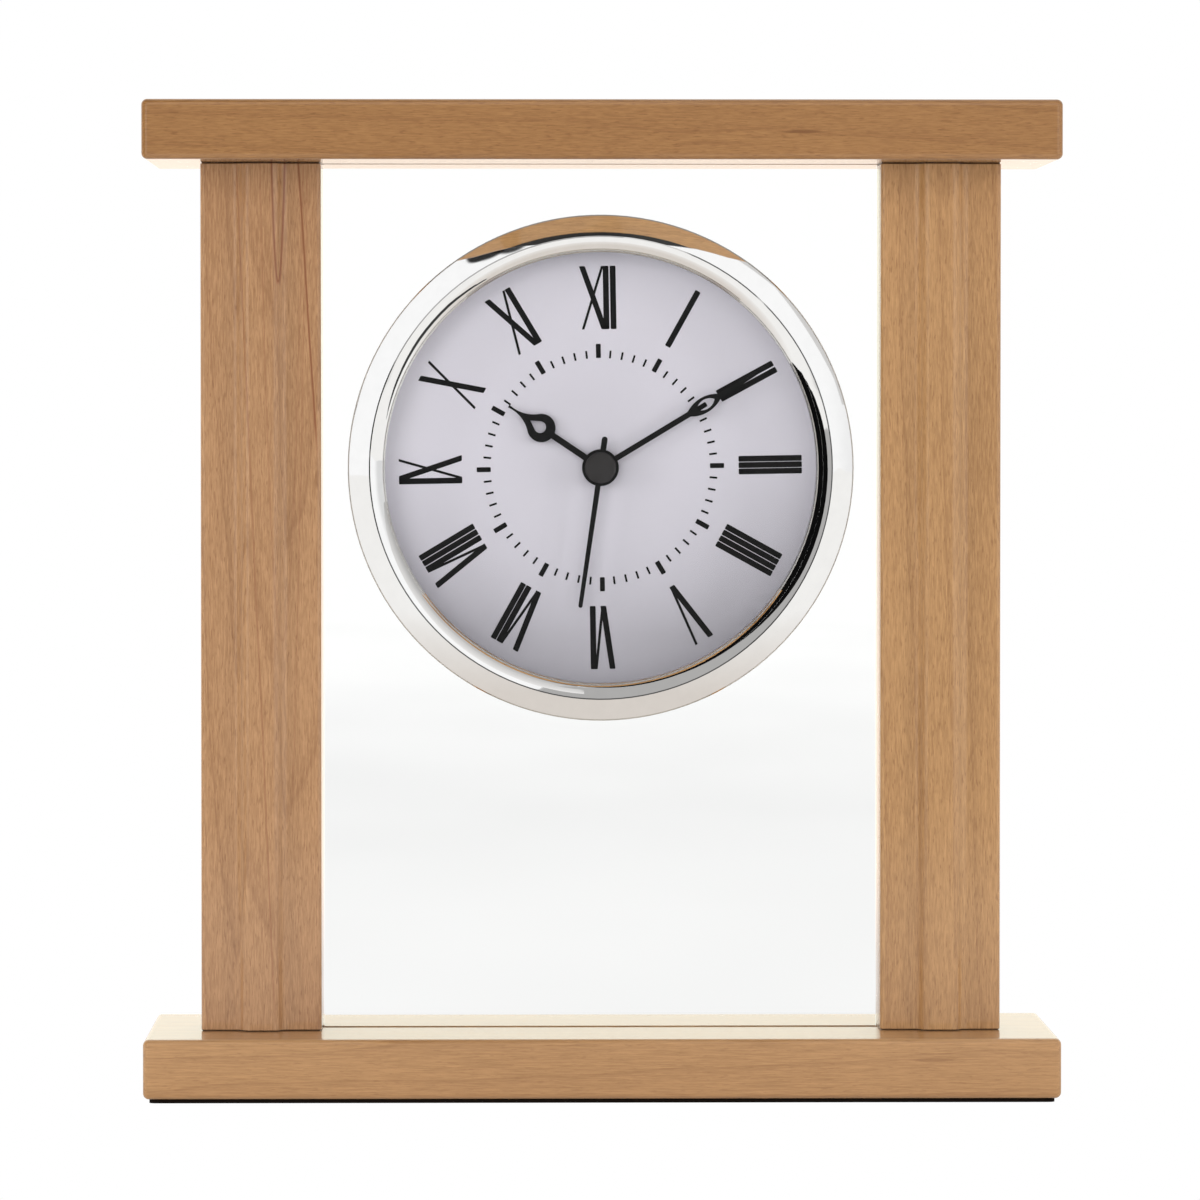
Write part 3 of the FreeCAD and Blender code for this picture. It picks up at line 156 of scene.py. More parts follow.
def toned(tone, shares):
    """A colour with its red, green and blue each multiplied by a share."""
    return tuple(value * share for value, share in zip(tone, shares)) + (1.0,)


def new_material(name, **sockets):
    """A material whose uniform values sit on the shader's own sockets."""
    material = bpy.data.materials.new(name)
    tree = Tree(material)
    shader = tree.nodes["Principled BSDF"]
    for socket, value in sockets.items():
        tree.feed(shader.inputs[socket.replace("_", " ")], value)
    return tree, shader


def mirror_only(tree, path):
    """1 for rays off a mirror or gloss. A ray bent by clear glass counts as glossy too, so it is
    taken out, unless it was mirrored on its way."""
    straight = tree.math("LESS_THAN", path.outputs["Glossy Depth"], 0.5)
    bent = tree.math("MULTIPLY", path.outputs["Is Transmission Ray"], straight)
    return tree.math("MULTIPLY", path.outputs["Is Glossy Ray"], tree.math("SUBTRACT", 1.0, bent))


def seen_ray(tree, path):
    """1 for rays from the eye, also by way of a mirror or through glass."""
    return tree.math("MAXIMUM", path.outputs["Is Camera Ray"],
                     tree.math("MAXIMUM", path.outputs["Is Glossy Ray"],
                               path.outputs["Is Transmission Ray"]))


def new_object(name, data):
    made = bpy.data.objects.new(name, data)
    bpy.context.scene.collection.objects.link(made)
    return made


def hide_from(made, *rays):
    for ray in rays:
        setattr(made, "visible_" + ray, False)


# Wood

# What the wood's tone is multiplied by in its fibres, its pores and rings, and its growth lines
PALE_FIBRE = (1.26, 1.30, 1.38)
DARK_FIBRE = (0.78, 0.73, 0.65)
DARK_LINE = (0.52, 0.40, 0.30)
RED_LINE = (0.56, 0.34, 0.25)
# Painted shade: the dark line where a column meets the base or the rail
JOINT_SHADE = (0.004, 0.002, 0.001, 1.0)
# Painted shade that mirrors show along the front of the rail's underside
LIP_SHADE = (0.004, 0.004, 0.004, 1.0)
LACQUER = 0.8


def wood(name, grain, tone, seed, pith, tilt, ring_width, line_strength, wander_by, streaks=(),
         run=0.07, speckle=1.0, joints=(), arches=(), lines=(), mirrored=None, mirror_lift=None,
         dark_lip=None):
    """Clear-lacquered beech, in millimetres. grain is the axis it runs along, pith is where the
    rings are centred across the piece, and tilt is how far that runs out of line. run is small
    for long fibres. Streaks are soft dark spindles: middle, half lengths and strength. Joints are
    heights with a painted dark line of shade, arches are growth lines that close downwards, and
    lines are single ones.

    The last three paint light and shade that only mirrors show of the piece. mirrored is a painted
    reflection tone, the depth where it starts and the two heights it lies between. mirror_lift is a
    colour that multiplies the rest, a painted brightening. dark_lip is a strip of painted shade
    along the front of the underside: how far in front its rear edge is in the middle, how much that
    edge bends forward sideways, and the height it goes up to."""
    tree, shader = new_material(name, Coat_Weight=LACQUER, Coat_Roughness=0.07, Coat_IOR=1.5)
    pale = toned(tone, PALE_FIBRE)
    dark = toned(tone, DARK_FIBRE)
    line = toned(tone, DARK_LINE)
    red_line = toned(tone, RED_LINE)
    x, y, z = tree.split(tree.place())
    across, through, along = (y, z, x) if grain == "x" else (x, y, z)
    drawn_out = tree.stretched((across, through, along), (0.05, 0.05, 0.011))
    slow = tree.noise(drawn_out, seed, detail=3.0)
    wander = tree.math("MULTIPLY", tree.math("SUBTRACT", slow, 0.5), wander_by)
    rise_a = tree.math("MULTIPLY_ADD", along, tilt[0], tree.math("SUBTRACT", across, pith[0]))
    rise_b = tree.math("MULTIPLY_ADD", along, tilt[1], tree.math("SUBTRACT", through, pith[1]))
    radius = tree.distance(rise_a, rise_b)
    ring = tree.math("FRACT", tree.math("DIVIDE", tree.math("ADD", radius, wander), ring_width))
    late = tree.math("POWER", ring, 3.0)
    edge = tree.math("POWER", tree.span(ring, 0.0, 0.97), 16.0)
    edge = tree.math("MULTIPLY", edge, tree.span(ring, 0.97, 1.0, 1.0, 0.0))

    def fibres(stretch, offset, scale, detail, roughness=0.5):
        """Noise drawn out along the grain."""
        place = tree.stretched((across, through, along), (1.0, 1.0, stretch))
        return tree.noise(place, seed + offset, scale, detail, roughness)

    fibre = fibres(run, 3.0, scale=3.0, detail=4.0, roughness=0.7)
    fine = fibres(0.09, 7.0, scale=4.6, detail=2.0)
    pores = tree.span(fibres(0.16, 11.0, scale=3.2, detail=1.0), 0.60, 0.70)
    flecks = tree.span(fibres(0.3, 13.0, scale=1.5, detail=1.0), 0.66, 0.74)
    patch = fibres(0.25, 17.0, scale=0.05, detail=2.0)

    mixed = tree.math("ADD", tree.math("MULTIPLY", fibre, 0.72), tree.math("MULTIPLY", patch, 0.28))
    colour = tree.blend(tree.span(mixed, 0.33, 0.67), dark, pale)
    for mark, strength in ((late, 0.10), (edge, line_strength), (pores, 0.50 * speckle),
                           (flecks, 0.14 * speckle)):
        colour = tree.blend(tree.math("MULTIPLY", mark, strength), colour, line)
    colour = tree.blend(tree.span(fine, 0.42, 0.64, 0.0, 0.24 * speckle), colour, line)
    colour = tree.blend(tree.span(fine, 0.36, 0.48, 0.30 * speckle, 0.0), colour, pale)
    for spot, reach, strength in streaks:
        parts = []
        for value, middle, half in zip((x, y, z), spot, reach):
            off = tree.math("DIVIDE", tree.math("SUBTRACT", value, middle), half)
            parts.append(tree.math("MULTIPLY", off, off))
        away = tree.math("ADD", tree.math("ADD", parts[0], parts[1]), parts[2])
        ragged = tree.math("MULTIPLY_ADD", tree.math("SUBTRACT", fibre, 0.5), 1.6, away)
        mark = tree.span(ragged, 0.2, 1.2, strength, 0.0, smooth=True)
        colour = tree.blend(mark, colour, line)
    for middle, tip, narrow, strength in arches:
        # The distance from a parabola whose lowest point is the tip
        off = tree.math("SUBTRACT", x, middle)
        wide = tree.math("MULTIPLY", tree.math("MULTIPLY", off, off), narrow)
        below = tree.math("SUBTRACT", tree.math("SUBTRACT", z, tip), wide)
        height = tree.math("ADD", below, wander)
        steep = tree.math("MULTIPLY", off, 2.0 * narrow)
        steep = tree.math("SQRT", tree.math("MULTIPLY_ADD", steep, steep, 1.0))
        away = tree.math("ABSOLUTE", tree.math("DIVIDE", height, steep))
        mark = tree.span(away, 0.06, 0.32, strength, 0.0, smooth=True)
        colour = tree.blend(mark, colour, red_line)
    for top, foot, strength in lines:
        lean = (foot[0] - top[0]) / (foot[1] - top[1])
        bend = tree.math("MULTIPLY_ADD", wander, 0.25, tree.math("SUBTRACT", x, top[0]))
        fall = tree.math("MULTIPLY_ADD", tree.math("SUBTRACT", z, top[1]), -lean, bend)
        away = tree.math("ABSOLUTE", fall)
        mark = tree.span(away, 0.06, 0.30, strength, 0.0, smooth=True)
        mark = tree.math("MULTIPLY", mark, tree.span(z, foot[1] - 4.0, foot[1] + 4.0))
        colour = tree.blend(mark, colour, red_line)
    # Painted shade in the joints, where the column meets the base and the rail
    for joint in joints:
        away = tree.math("ABSOLUTE", tree.math("SUBTRACT", z, joint))
        colour = tree.blend(tree.span(away, 0.10, 0.26, 0.93, 0.0), colour, JOINT_SHADE)
    # Painted reflection: tones and brightening that only mirrors show of the piece
    if mirrored:
        reflected, behind, above, below = mirrored
        glossy = mirror_only(tree, tree.node("ShaderNodeLightPath"))
        if mirror_lift:
            colour = tree.blend(glossy, colour, mirror_lift, "MULTIPLY")
        inside = tree.product(glossy, tree.span(y, behind, behind + 1.0),
                              tree.span(z, above, above + 5.0),
                              tree.span(z, below - 5.0, below, 1.0, 0.0))
        colour = tree.blend(inside, colour, reflected)
    # Painted shade that only mirrors show, along the front of the underside
    if dark_lip:
        middle, bow, height = dark_lip
        square = tree.math("MULTIPLY", x, x)
        curve = tree.math("MULTIPLY_ADD", square, bow, tree.math("ADD", y, middle))
        lip = tree.product(tree.math("LESS_THAN", curve, 0.0), tree.math("LESS_THAN", z, height),
                           mirror_only(tree, tree.node("ShaderNodeLightPath")))
        colour = tree.blend(lip, colour, LIP_SHADE)
        tree.feed(shader.inputs["Coat Weight"], tree.span(lip, 0.0, 1.0, LACQUER, 0.0))
    tree.feed(shader.inputs["Base Color"], colour)
    tree.feed(shader.inputs["Roughness"], tree.span(fibre, 0.3, 0.7, 0.36, 0.50))
    relief = tree.math("SUBTRACT", tree.math("MULTIPLY", fibre, 0.5), pores)
    tree.feed(shader.inputs["Normal"], tree.bump(relief, 0.10, 0.05 * MM))
    return tree.owner


# Painted reflection tones that only mirrors show: the tone, the depth where it starts, and the
# heights it lies between
WARM_GREY = (0.46, 0.42, 0.38, 1.0)
DARK_GREY = (0.30, 0.28, 0.26, 1.0)
MIRRORED_BASE = (WARM_GREY, -100.0, -10.0, 30.0)
MIRRORED_COLUMN = (WARM_GREY, -100.0, 25.0, 182.0)
MIRRORED_RAIL = (DARK_GREY, -15.0, 100.0, 300.0)
RAIL_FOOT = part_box("top_rail")[0][2] * TO_MM
COLUMN_ENDS = (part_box("left_column")[0][2] * TO_MM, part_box("left_column")[1][2] * TO_MM)
beech_base = wood("beech_base", "x", (0.417, 0.220, 0.084), seed=2.0, pith=(40.0, -46.0),
                  tilt=(0.02, -0.018), ring_width=4.6, line_strength=0.22, wander_by=9.0,
                  streaks=[((66.0, -30.0, 8.6), (4.5, 4.0, 0.5), 0.45)], run=0.035, speckle=0.5,
                  mirrored=MIRRORED_BASE)
# The rail's mirror lift is painted light and its dark lip painted shade, both seen only in mirrors
beech_rail = wood("beech_rail", "x", (0.316, 0.149, 0.044), seed=5.0, pith=(30.0, 260.0),
                  tilt=(0.03, 0.022), ring_width=5.2, line_strength=0.20, wander_by=10.0,
                  streaks=[((40.0, -30.0, 194.3), (4.5, 5.0, 0.45), 0.75),
                           ((22.0, -30.0, 192.0), (8.0, 5.0, 0.5), 0.3)], run=0.06, speckle=0.9,
                  mirrored=MIRRORED_RAIL, mirror_lift=(1.63, 1.86, 2.2, 1.0),
                  dark_lip=(24.5, 0.0070, RAIL_FOOT + 1.0))
beech_left = wood("beech_left", "z", (0.434, 0.234, 0.106), seed=9.0, pith=(-65.0, 14.0),
                  tilt=(0.0, 0.045), ring_width=3.1, line_strength=0.34, wander_by=4.0,
                  streaks=[((-77.0, -11.5, 110.0), (0.5, 3.0, 3.0), 0.5),
                           ((-57.6, -10.0, 124.6), (0.5, 3.0, 2.2), 0.5),
                           ((-62.9, -13.0, 15.4), (0.9, 3.0, 1.4), 0.8)],
                  joints=COLUMN_ENDS, mirrored=MIRRORED_COLUMN,
                  arches=[(-65.3, 165.0, 14.0, 0.95),
                          (-64.6, 92.0, 5.0, 0.22)],
                  lines=[((-61.2, 188.0), (-57.7, 132.0), 0.95),
                         ((-68.0, 60.0), (-66.0, 16.0), 0.4),
                         ((-61.0, 120.0), (-62.4, 60.0), 0.25)])
beech_right = wood("beech_right", "z", (0.440, 0.238, 0.093), seed=14.0, pith=(118.0, 40.0),
                   tilt=(-0.01, 0.03), ring_width=4.6, line_strength=0.26, wander_by=5.0,
                   streaks=[((64.6, -13.2, 75.0), (0.45, 3.0, 16.0), 0.6)], joints=COLUMN_ENDS,
                   mirrored=MIRRORED_COLUMN)
dowel_beech = wood("dowel_beech", "z", (0.56, 0.38, 0.22), seed=21.0, pith=(30.0, 20.0),
                   tilt=(0.0, 0.0), ring_width=2.0, line_strength=0.2, wander_by=2.0)


# Glass, metal and plastic

GLASS_IOR = 1.5


def clear_glass(name, tint):
    """Clear glass that lets lamp light through to what stands behind it."""
    tree, shader = new_material(name, Base_Color=tint, Roughness=0.0, IOR=GLASS_IOR,
                                Transmission_Weight=1.0)
    through = tree.node("ShaderNodeBsdfTransparent")
    tree.feed(through.inputs["Color"], tint)
    tree.surface(shader, through, tree.node("ShaderNodeLightPath").outputs["Is Shadow Ray"])
    return tree.owner


def metal(name, colour, roughness, grain_scale, seed, stretch=(1.0, 1.0, 1.0), relief=0.05,
          mottle=0.88):
    """Bare or plated metal with a fine grain in its gloss."""
    tree, shader = new_material(name, Metallic=1.0)
    grained = tree.stretched(tree.split(tree.place()), stretch)
    grain = tree.noise(grained, seed, scale=grain_scale, detail=3.0)
    shade = toned(colour, (mottle, mottle, mottle))
    tree.feed(shader.inputs["Base Color"], tree.blend(tree.span(grain, 0.3, 0.7), shade, colour))
    tree.feed(shader.inputs["Roughness"],
              tree.span(grain, 0.25, 0.75, roughness * 0.8, roughness * 1.25))
    tree.feed(shader.inputs["Normal"], tree.bump(grain, relief, 0.02 * MM))
    return tree.owner


def plastic(name, colour, roughness, seed, speckle=0.12, scale=2.5, relief=0.12, coat=0.0,
            gloss=0.5):
    """Moulded plastic, rubber or lacquer, with a fine spark-eroded texture and a slight drift in
    tone."""
    tree, shader = new_material(name, Coat_Weight=coat, Specular_IOR_Level=gloss)
    place = tree.place()
    fine = tree.noise(place, seed, scale=scale, detail=3.0, roughness=0.6)
    slow = tree.noise(place, seed + 5.0, scale=0.06, detail=1.0)
    both = tree.math("ADD", tree.math("MULTIPLY", fine, 0.6), tree.math("MULTIPLY", slow, 0.4))
    lighter = tuple(min(1.0, value * (1.0 + speckle * 2) + 0.002) for value in colour[:3]) + (1.0,)
    tree.feed(shader.inputs["Base Color"], tree.blend(tree.span(both, 0.3, 0.7), colour, lighter))
    tree.feed(shader.inputs["Roughness"],
              tree.span(fine, 0.25, 0.75, roughness * 0.9, roughness * 1.1))
    tree.feed(shader.inputs["Normal"], tree.bump(fine, relief, 0.03 * MM))
    return tree.owner


pane_glass = clear_glass("pane_glass", (0.985, 0.99, 0.985, 1.0))
lens_glass = clear_glass("lens_glass", (0.99, 0.99, 0.99, 1.0))

bezel_chrome = metal("bezel_chrome", (0.95, 0.95, 0.95, 1.0), 0.03, 0.4, seed=31.0, relief=0.0,
                     mottle=0.97)
steel = metal("zinc_steel", (0.60, 0.60, 0.61, 1.0), 0.34, 3.0, seed=33.0)
ring_silver = metal("ring_silver", (0.66, 0.66, 0.68, 1.0), 0.32, 5.0, seed=35.0,
                    stretch=(1, 0.1, 1))
soft_iron = metal("soft_iron", (0.46, 0.46, 0.48, 1.0), 0.38, 2.0, seed=37.0, stretch=(0.2, 1, 1))
tin_can = metal("tin_can", (0.70, 0.70, 0.69, 1.0), 0.22, 2.0, seed=39.0, stretch=(0.15, 1, 1))
spring_nickel = metal("spring_nickel", (0.66, 0.65, 0.62, 1.0), 0.28, 3.0, seed=41.0,
                      stretch=(1, 1, 0.2))
magnet = metal("sintered_magnet", (0.10, 0.10, 0.11, 1.0), 0.5, 6.0, seed=43.0, relief=0.2)

case_black = plastic("case_black", (0.020, 0.020, 0.022, 1.0), 0.48, seed=51.0)
knob_black = plastic("knob_black", (0.028, 0.028, 0.030, 1.0), 0.40, seed=53.0)
natural_plastic = plastic("natural_plastic", (0.66, 0.63, 0.54, 1.0), 0.36, seed=55.0, speckle=0.05)
gasket_black = plastic("gasket_black", (0.014, 0.014, 0.014, 1.0), 0.72, seed=57.0, relief=0.25)
solder_green = plastic("solder_green", (0.018, 0.115, 0.045, 1.0), 0.28, seed=59.0, speckle=0.3,
                       coat=0.6)
hand_black = plastic("hand_black", (0.005, 0.005, 0.005, 1.0), 0.34, seed=61.0, scale=4.0,
                     relief=0.04, gloss=0.13)
cap_black = plastic("cap_black", (0.020, 0.018, 0.018, 1.0), 0.34, seed=63.0, scale=4.0,
                    relief=0.04, gloss=0.6)
print_black = plastic("print_black", (0.004, 0.004, 0.004, 1.0), 0.42, seed=65.0, scale=6.0,
                      relief=0.05, gloss=0.10)


def dial_satin():
    """Fine-blasted silver with a lavender cast. Away from its middle it has painted shade and
    light:
    darker downwards and lighter sideways."""
    tree, shader = new_material("dial_satin", Metallic=0.12)
    place = tree.place()
    x, _, z = tree.split(place)
    sideways = tree.math("ADD", x, 2.5)
    upwards = tree.math("SUBTRACT", z, AXIS_Z * TO_MM + 4.0)
    radius = tree.distance(sideways, upwards)
    grain = tree.noise(place, 71.0, scale=9.0, detail=2.0, roughness=0.7)
    cloud = tree.noise(place, 73.0, scale=0.05, detail=2.0)
    # Painted shade and light towards the rim: darker downwards, lighter to the left and the right
    painted_rim_shading = tree.math("MULTIPLY", tree.span(upwards, -38.0, 0.0, 0.56, 1.0),
                    tree.math("MULTIPLY", tree.span(upwards, 0.0, 36.0, 1.0, 0.98),
                              tree.span(sideways, -38.0, 38.0, 1.32, 1.10)))
    level = tree.math("ADD", 1.0, tree.math("MULTIPLY", tree.span(radius, 10.0, 42.0),
                                            tree.math("SUBTRACT", painted_rim_shading, 1.0)))
    tone = tree.blend(1.0, linear(233, 230, 239), tree.join(level, level, level), "MULTIPLY")
    tone = tree.blend(tree.span(grain, 0.3, 0.7, 0.0, 0.10), tone, linear(176, 173, 182))
    tone = tree.blend(tree.span(cloud, 0.35, 0.65, 0.0, 0.05), tone, linear(240, 237, 244))
    tree.feed(shader.inputs["Base Color"], tone)
    tree.feed(shader.inputs["Roughness"], tree.span(grain, 0.3, 0.7, 0.46, 0.58))
    tree.feed(shader.inputs["Normal"], tree.bump(grain, 0.10, 0.02 * MM))
    return tree.owner


def felt():
    """Dense dark brown-black felt: crossed short fibres and a soft nap."""
    tree, shader = new_material("felt", Roughness=1.0, Sheen_Weight=0.04, Sheen_Roughness=0.5,
                                Specular_IOR_Level=0.1)
    place = tree.split(tree.place())
    one = tree.noise(tree.stretched(place, (0.25, 1.0, 1.0)), 81.0, scale=5.0, detail=3.0)
    other = tree.noise(tree.stretched(place, (1.0, 0.25, 1.0)), 83.0, scale=5.0, detail=3.0)
    fibres = tree.math("MAXIMUM", one, other)
    tone = tree.blend(tree.span(fibres, 0.4, 0.75), (0.002, 0.0015, 0.001, 1.0),
                      (0.014, 0.008, 0.005, 1.0))
    tree.feed(shader.inputs["Base Color"], tone)
    tree.feed(shader.inputs["Normal"], tree.bump(fibres, 0.5, 0.12 * MM))
    return tree.owner


WIRE_PITCH = 0.12


def copper_winding():
    """Enamelled wire laid in layers: turns side by side along the coil, which runs upright."""
    tree, shader = new_material("copper_winding", Metallic=0.85, Roughness=0.28, Coat_Weight=0.6)
    place = tree.split(tree.place())
    wave = tree.math("SINE", tree.math("MULTIPLY", place[2], 2 * math.pi / WIRE_PITCH))
    spread = tree.noise(tree.stretched(place, (1.0, 1.0, 6.0)), 91.0, scale=1.2, detail=2.0)
    tone = tree.blend(tree.span(spread, 0.3, 0.7), (0.34, 0.10, 0.030, 1.0),
                      (0.56, 0.21, 0.070, 1.0))
    tree.feed(shader.inputs["Base Color"], tone)
    tree.feed(shader.inputs["Normal"], tree.bump(wave, 0.5, 0.05 * MM))
    return tree.owner


# Along the battery cell: the light band, and the bare metal at its two ends
BAND_LENGTH = 15.0
BARE_AT_FOOT = 0.7
BARE_AT_TOP = 1.9


def battery_sleeve():
    """A plain printed sleeve in two tones, with bare metal at both ends, and no lettering."""
    low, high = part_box("battery_cell")
    tree, shader = new_material("battery_sleeve", Coat_Weight=0.5, Coat_Roughness=0.12)
    place = tree.split(tree.place())
    x = place[0]
    foot = low[0] * TO_MM
    top = high[0] * TO_MM
    scuff = tree.noise(tree.stretched(place, (0.15, 1.0, 1.0)), 95.0, scale=1.4, detail=3.0)
    worn = tree.span(scuff, 0.3, 0.7)
    dark = tree.blend(worn, (0.035, 0.040, 0.050, 1.0), (0.050, 0.057, 0.070, 1.0))
    light = tree.blend(worn, (0.40, 0.41, 0.43, 1.0), (0.50, 0.51, 0.53, 1.0))
    colour = tree.blend(tree.span(x, top - BAND_LENGTH, top - BAND_LENGTH + 0.2), dark, light)
    bare = tree.math("ADD", tree.span(x, foot + BARE_AT_FOOT, foot + BARE_AT_FOOT + 0.1, 1.0, 0.0),
                     tree.span(x, top - BARE_AT_TOP, top - BARE_AT_TOP + 0.1), clamp=True)
    tree.feed(shader.inputs["Base Color"], tree.blend(bare, colour, (0.62, 0.62, 0.60, 1.0)))
    tree.feed(shader.inputs["Metallic"], tree.math("MAXIMUM", bare, 0.25))
    tree.feed(shader.inputs["Roughness"], tree.span(scuff, 0.3, 0.7, 0.24, 0.38))
    return tree.owner


LOOKS = {
    "base_board": beech_base, "top_rail": beech_rail,
    "left_column": beech_left, "right_column": beech_right,
    "column_dowels": dowel_beech, "base_screws": steel, "base_felt": felt(),
    "glass_pane": pane_glass, "hole_gasket": gasket_black, "insert_cup": case_black,
    "bezel_ring": bezel_chrome, "lens_glass": lens_glass, "spacer_ring": ring_silver,
    "dial_plate": dial_satin(), "dial_carrier": case_black,
    "movement_front_plate": case_black, "train_bridge": case_black, "bridge_screws": steel,
    "movement_rear_case": case_black, "contact_minus": spring_nickel, "contact_plus": spring_nickel,
    "battery_cell": battery_sleeve(), "stator_plate": soft_iron, "coil_core": soft_iron,
    "coil_bobbin": natural_plastic, "coil_winding": copper_winding(), "circuit_board": solder_green,
    "quartz_can": tin_can, "timing_chip": case_black, "second_wheel": natural_plastic,
    "step_wheel": natural_plastic, "rotor_pinion": natural_plastic, "rotor_magnet": magnet,
    "third_wheel": natural_plastic, "centre_wheel": natural_plastic, "minute_pipe": natural_plastic,
    "minute_wheel": natural_plastic, "hour_wheel": natural_plastic, "setting_shaft": knob_black,
    "setting_knob": knob_black, "hour_hand": hand_black, "minute_hand": hand_black,
    "second_hand": hand_black, "second_hand_cap": cap_black,
}
for node, look in LOOKS.items():
    slots = nodes[node].data.materials
    if not slots:
        slots.append(look)
    for index in range(len(slots)):
        slots[index] = look


# Dial print

PX = 1 / 4.888                    # one pixel of the dial in the photo, in millimetres
PRINT_TURN = math.radians(1.0)    # the print stands turned by this, anticlockwise
NUMERAL_TOP = 200.8 * PX
NUMERAL_FOOT = 137.8 * PX
THICK = 5.8 * PX
THIN = 2.6 * PX
BAR_TOP = 123.3 * PX
BAR_FOOT = 109.2 * PX
BAR_WIDTH = 4.9 * PX
TICK_TOP = 117.0 * PX
TICK_WIDTH = 2.0 * PX

# Each stroke: its width, then its middle line's place at the top and at the foot, in photo pixels
NUMERALS = {
    1: [(THICK, 0.0, 0.0)],
    2: [(THICK, -1.0, -3.7), (THICK, 6.2, 3.5)],
    3: [(THICK, -6.3, -6.3), (THICK, 0.0, 0.0), (THICK, 6.3, 6.3)],
    4: [(THICK, -9.6, -9.6), (THICK, -3.1, -3.1), (THICK, 3.4, 3.4), (THICK, 9.9, 9.9)],
    5: [(THICK, -7.9, 0.0), (THIN, 8.6, 0.9)],
    6: [(THICK, -8.8, -0.4), (THIN, 7.5, 0.2), (THICK, 10.1, 10.1)],
    7: [(THICK, -14.2, -6.1), (THIN, 1.8, -5.0), (THICK, 4.7, 4.7), (THICK, 11.0, 11.0)],
    8: [(THICK, -16.9, -7.9), (THIN, -0.4, -6.9), (THICK, 2.0, 2.0), (THICK, 8.6, 8.6),
        (THICK, 15.1, 15.1)],
    9: [(THICK, -10.3, -10.3), (THICK, -7.9, 12.2), (THIN, 10.9, -8.0)],
    10: [(THICK, -9.4, 11.4), (THIN, 9.4, -8.8)],
    11: [(THICK, -11.3, 8.9), (THIN, 8.0, -10.8), (THICK, 12.2, 12.2)],
    12: [(THICK, -15.0, 6.5), (THIN, 5.3, -14.8), (THICK, 8.6, 8.6), (THICK, 15.6, 15.6)],
}
INK_DEPTH = 0.03 * MM
CORNER = 0.18                     # of the stroke's width
CORNER_STEPS = 3
THIN_INK = 0.9                    # of the ink's depth, so that crossing strokes share no face


def stroke_outline(width, top, foot, high, low):
    """A stroke's outline in millimetres, with level ends and slightly rounded corners."""
    corners = [(foot - width / 2, low), (foot + width / 2, low),
               (top + width / 2, high), (top - width / 2, high)]
    outline = []
    for index, corner in enumerate(corners):
        here = Vector(corner)
        before = (Vector(corners[index - 1]) - here).normalized() * width * CORNER
        after = (Vector(corners[(index + 1) % 4]) - here).normalized() * width * CORNER
        for step in range(CORNER_STEPS + 1):
            share = step / CORNER_STEPS
            outline.append(here + before * (1 - share) ** 2 + after * share ** 2)
    return outline


def print_piece(name, strokes):
    """Flat ink on the dial's front, from (clock angle, outline, thickness) of each stroke."""
    mesh = bpy.data.meshes.new(name)
    shape = bmesh.new()
    for clock_angle, outline, thickness in strokes:
        turn = clock_angle - PRINT_TURN
        rows = []
        for y in (DIAL_FRONT_Y, DIAL_FRONT_Y - thickness):
            row = []
            for across, up in outline:
                x = (across * math.cos(turn) + up * math.sin(turn)) * MM
                z = AXIS_Z + (up * math.cos(turn) - across * math.sin(turn)) * MM
                row.append(shape.verts.new((x, y, z)))
            rows.append(row)
        shape.faces.new(rows[1])
        shape.faces.new(list(reversed(rows[0])))
        count = len(outline)
        for index in range(count):
            after = (index + 1) % count
            shape.faces.new((rows[0][index], rows[0][after], rows[1][after], rows[1][index]))
    bmesh.ops.recalc_face_normals(shape, faces=shape.faces)
    shape.to_mesh(mesh)
    shape.free()
    piece = new_object(name, mesh)
    mesh.materials.append(print_black)
    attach(piece, "frame")


numeral_strokes = []
for hour, strokes in NUMERALS.items():
    for width, top, foot in strokes:
        thickness = INK_DEPTH if width == THICK else INK_DEPTH * THIN_INK
        outline = stroke_outline(width, top * PX, foot * PX, NUMERAL_TOP, NUMERAL_FOOT)
        numeral_strokes.append((math.radians(30 * hour), outline, thickness))
print_piece("dial_numerals", numeral_strokes)
print_piece("dial_hour_bars", [
    (math.radians(30 * hour), stroke_outline(BAR_WIDTH, 0.0, 0.0, BAR_TOP, BAR_FOOT), INK_DEPTH)
    for hour in range(12)])
print_piece("dial_minute_ticks", [
    (math.radians(6 * minute), stroke_outline(TICK_WIDTH, 0.0, 0.0, TICK_TOP, BAR_FOOT), INK_DEPTH)
    for minute in range(60) if minute % 5])


# Floor and room

# What mirrors show of the floor close to the clock, farther out, and far behind the clock
MIRRORED_NEAR = (0.71, 0.66, 0.61, 1.0)
MIRRORED_FAR = (0.93, 0.92, 0.90, 1.0)
MIRRORED_BEHIND = (1.38, 1.19, 1.03, 1.0)

# How bright white paper is behind the clear pane, which itself takes a little light
THROUGH_GLASS = 1.09
THROUGH_GLASS_NEAR = 0.945
FLOOR_REACH = 3.0


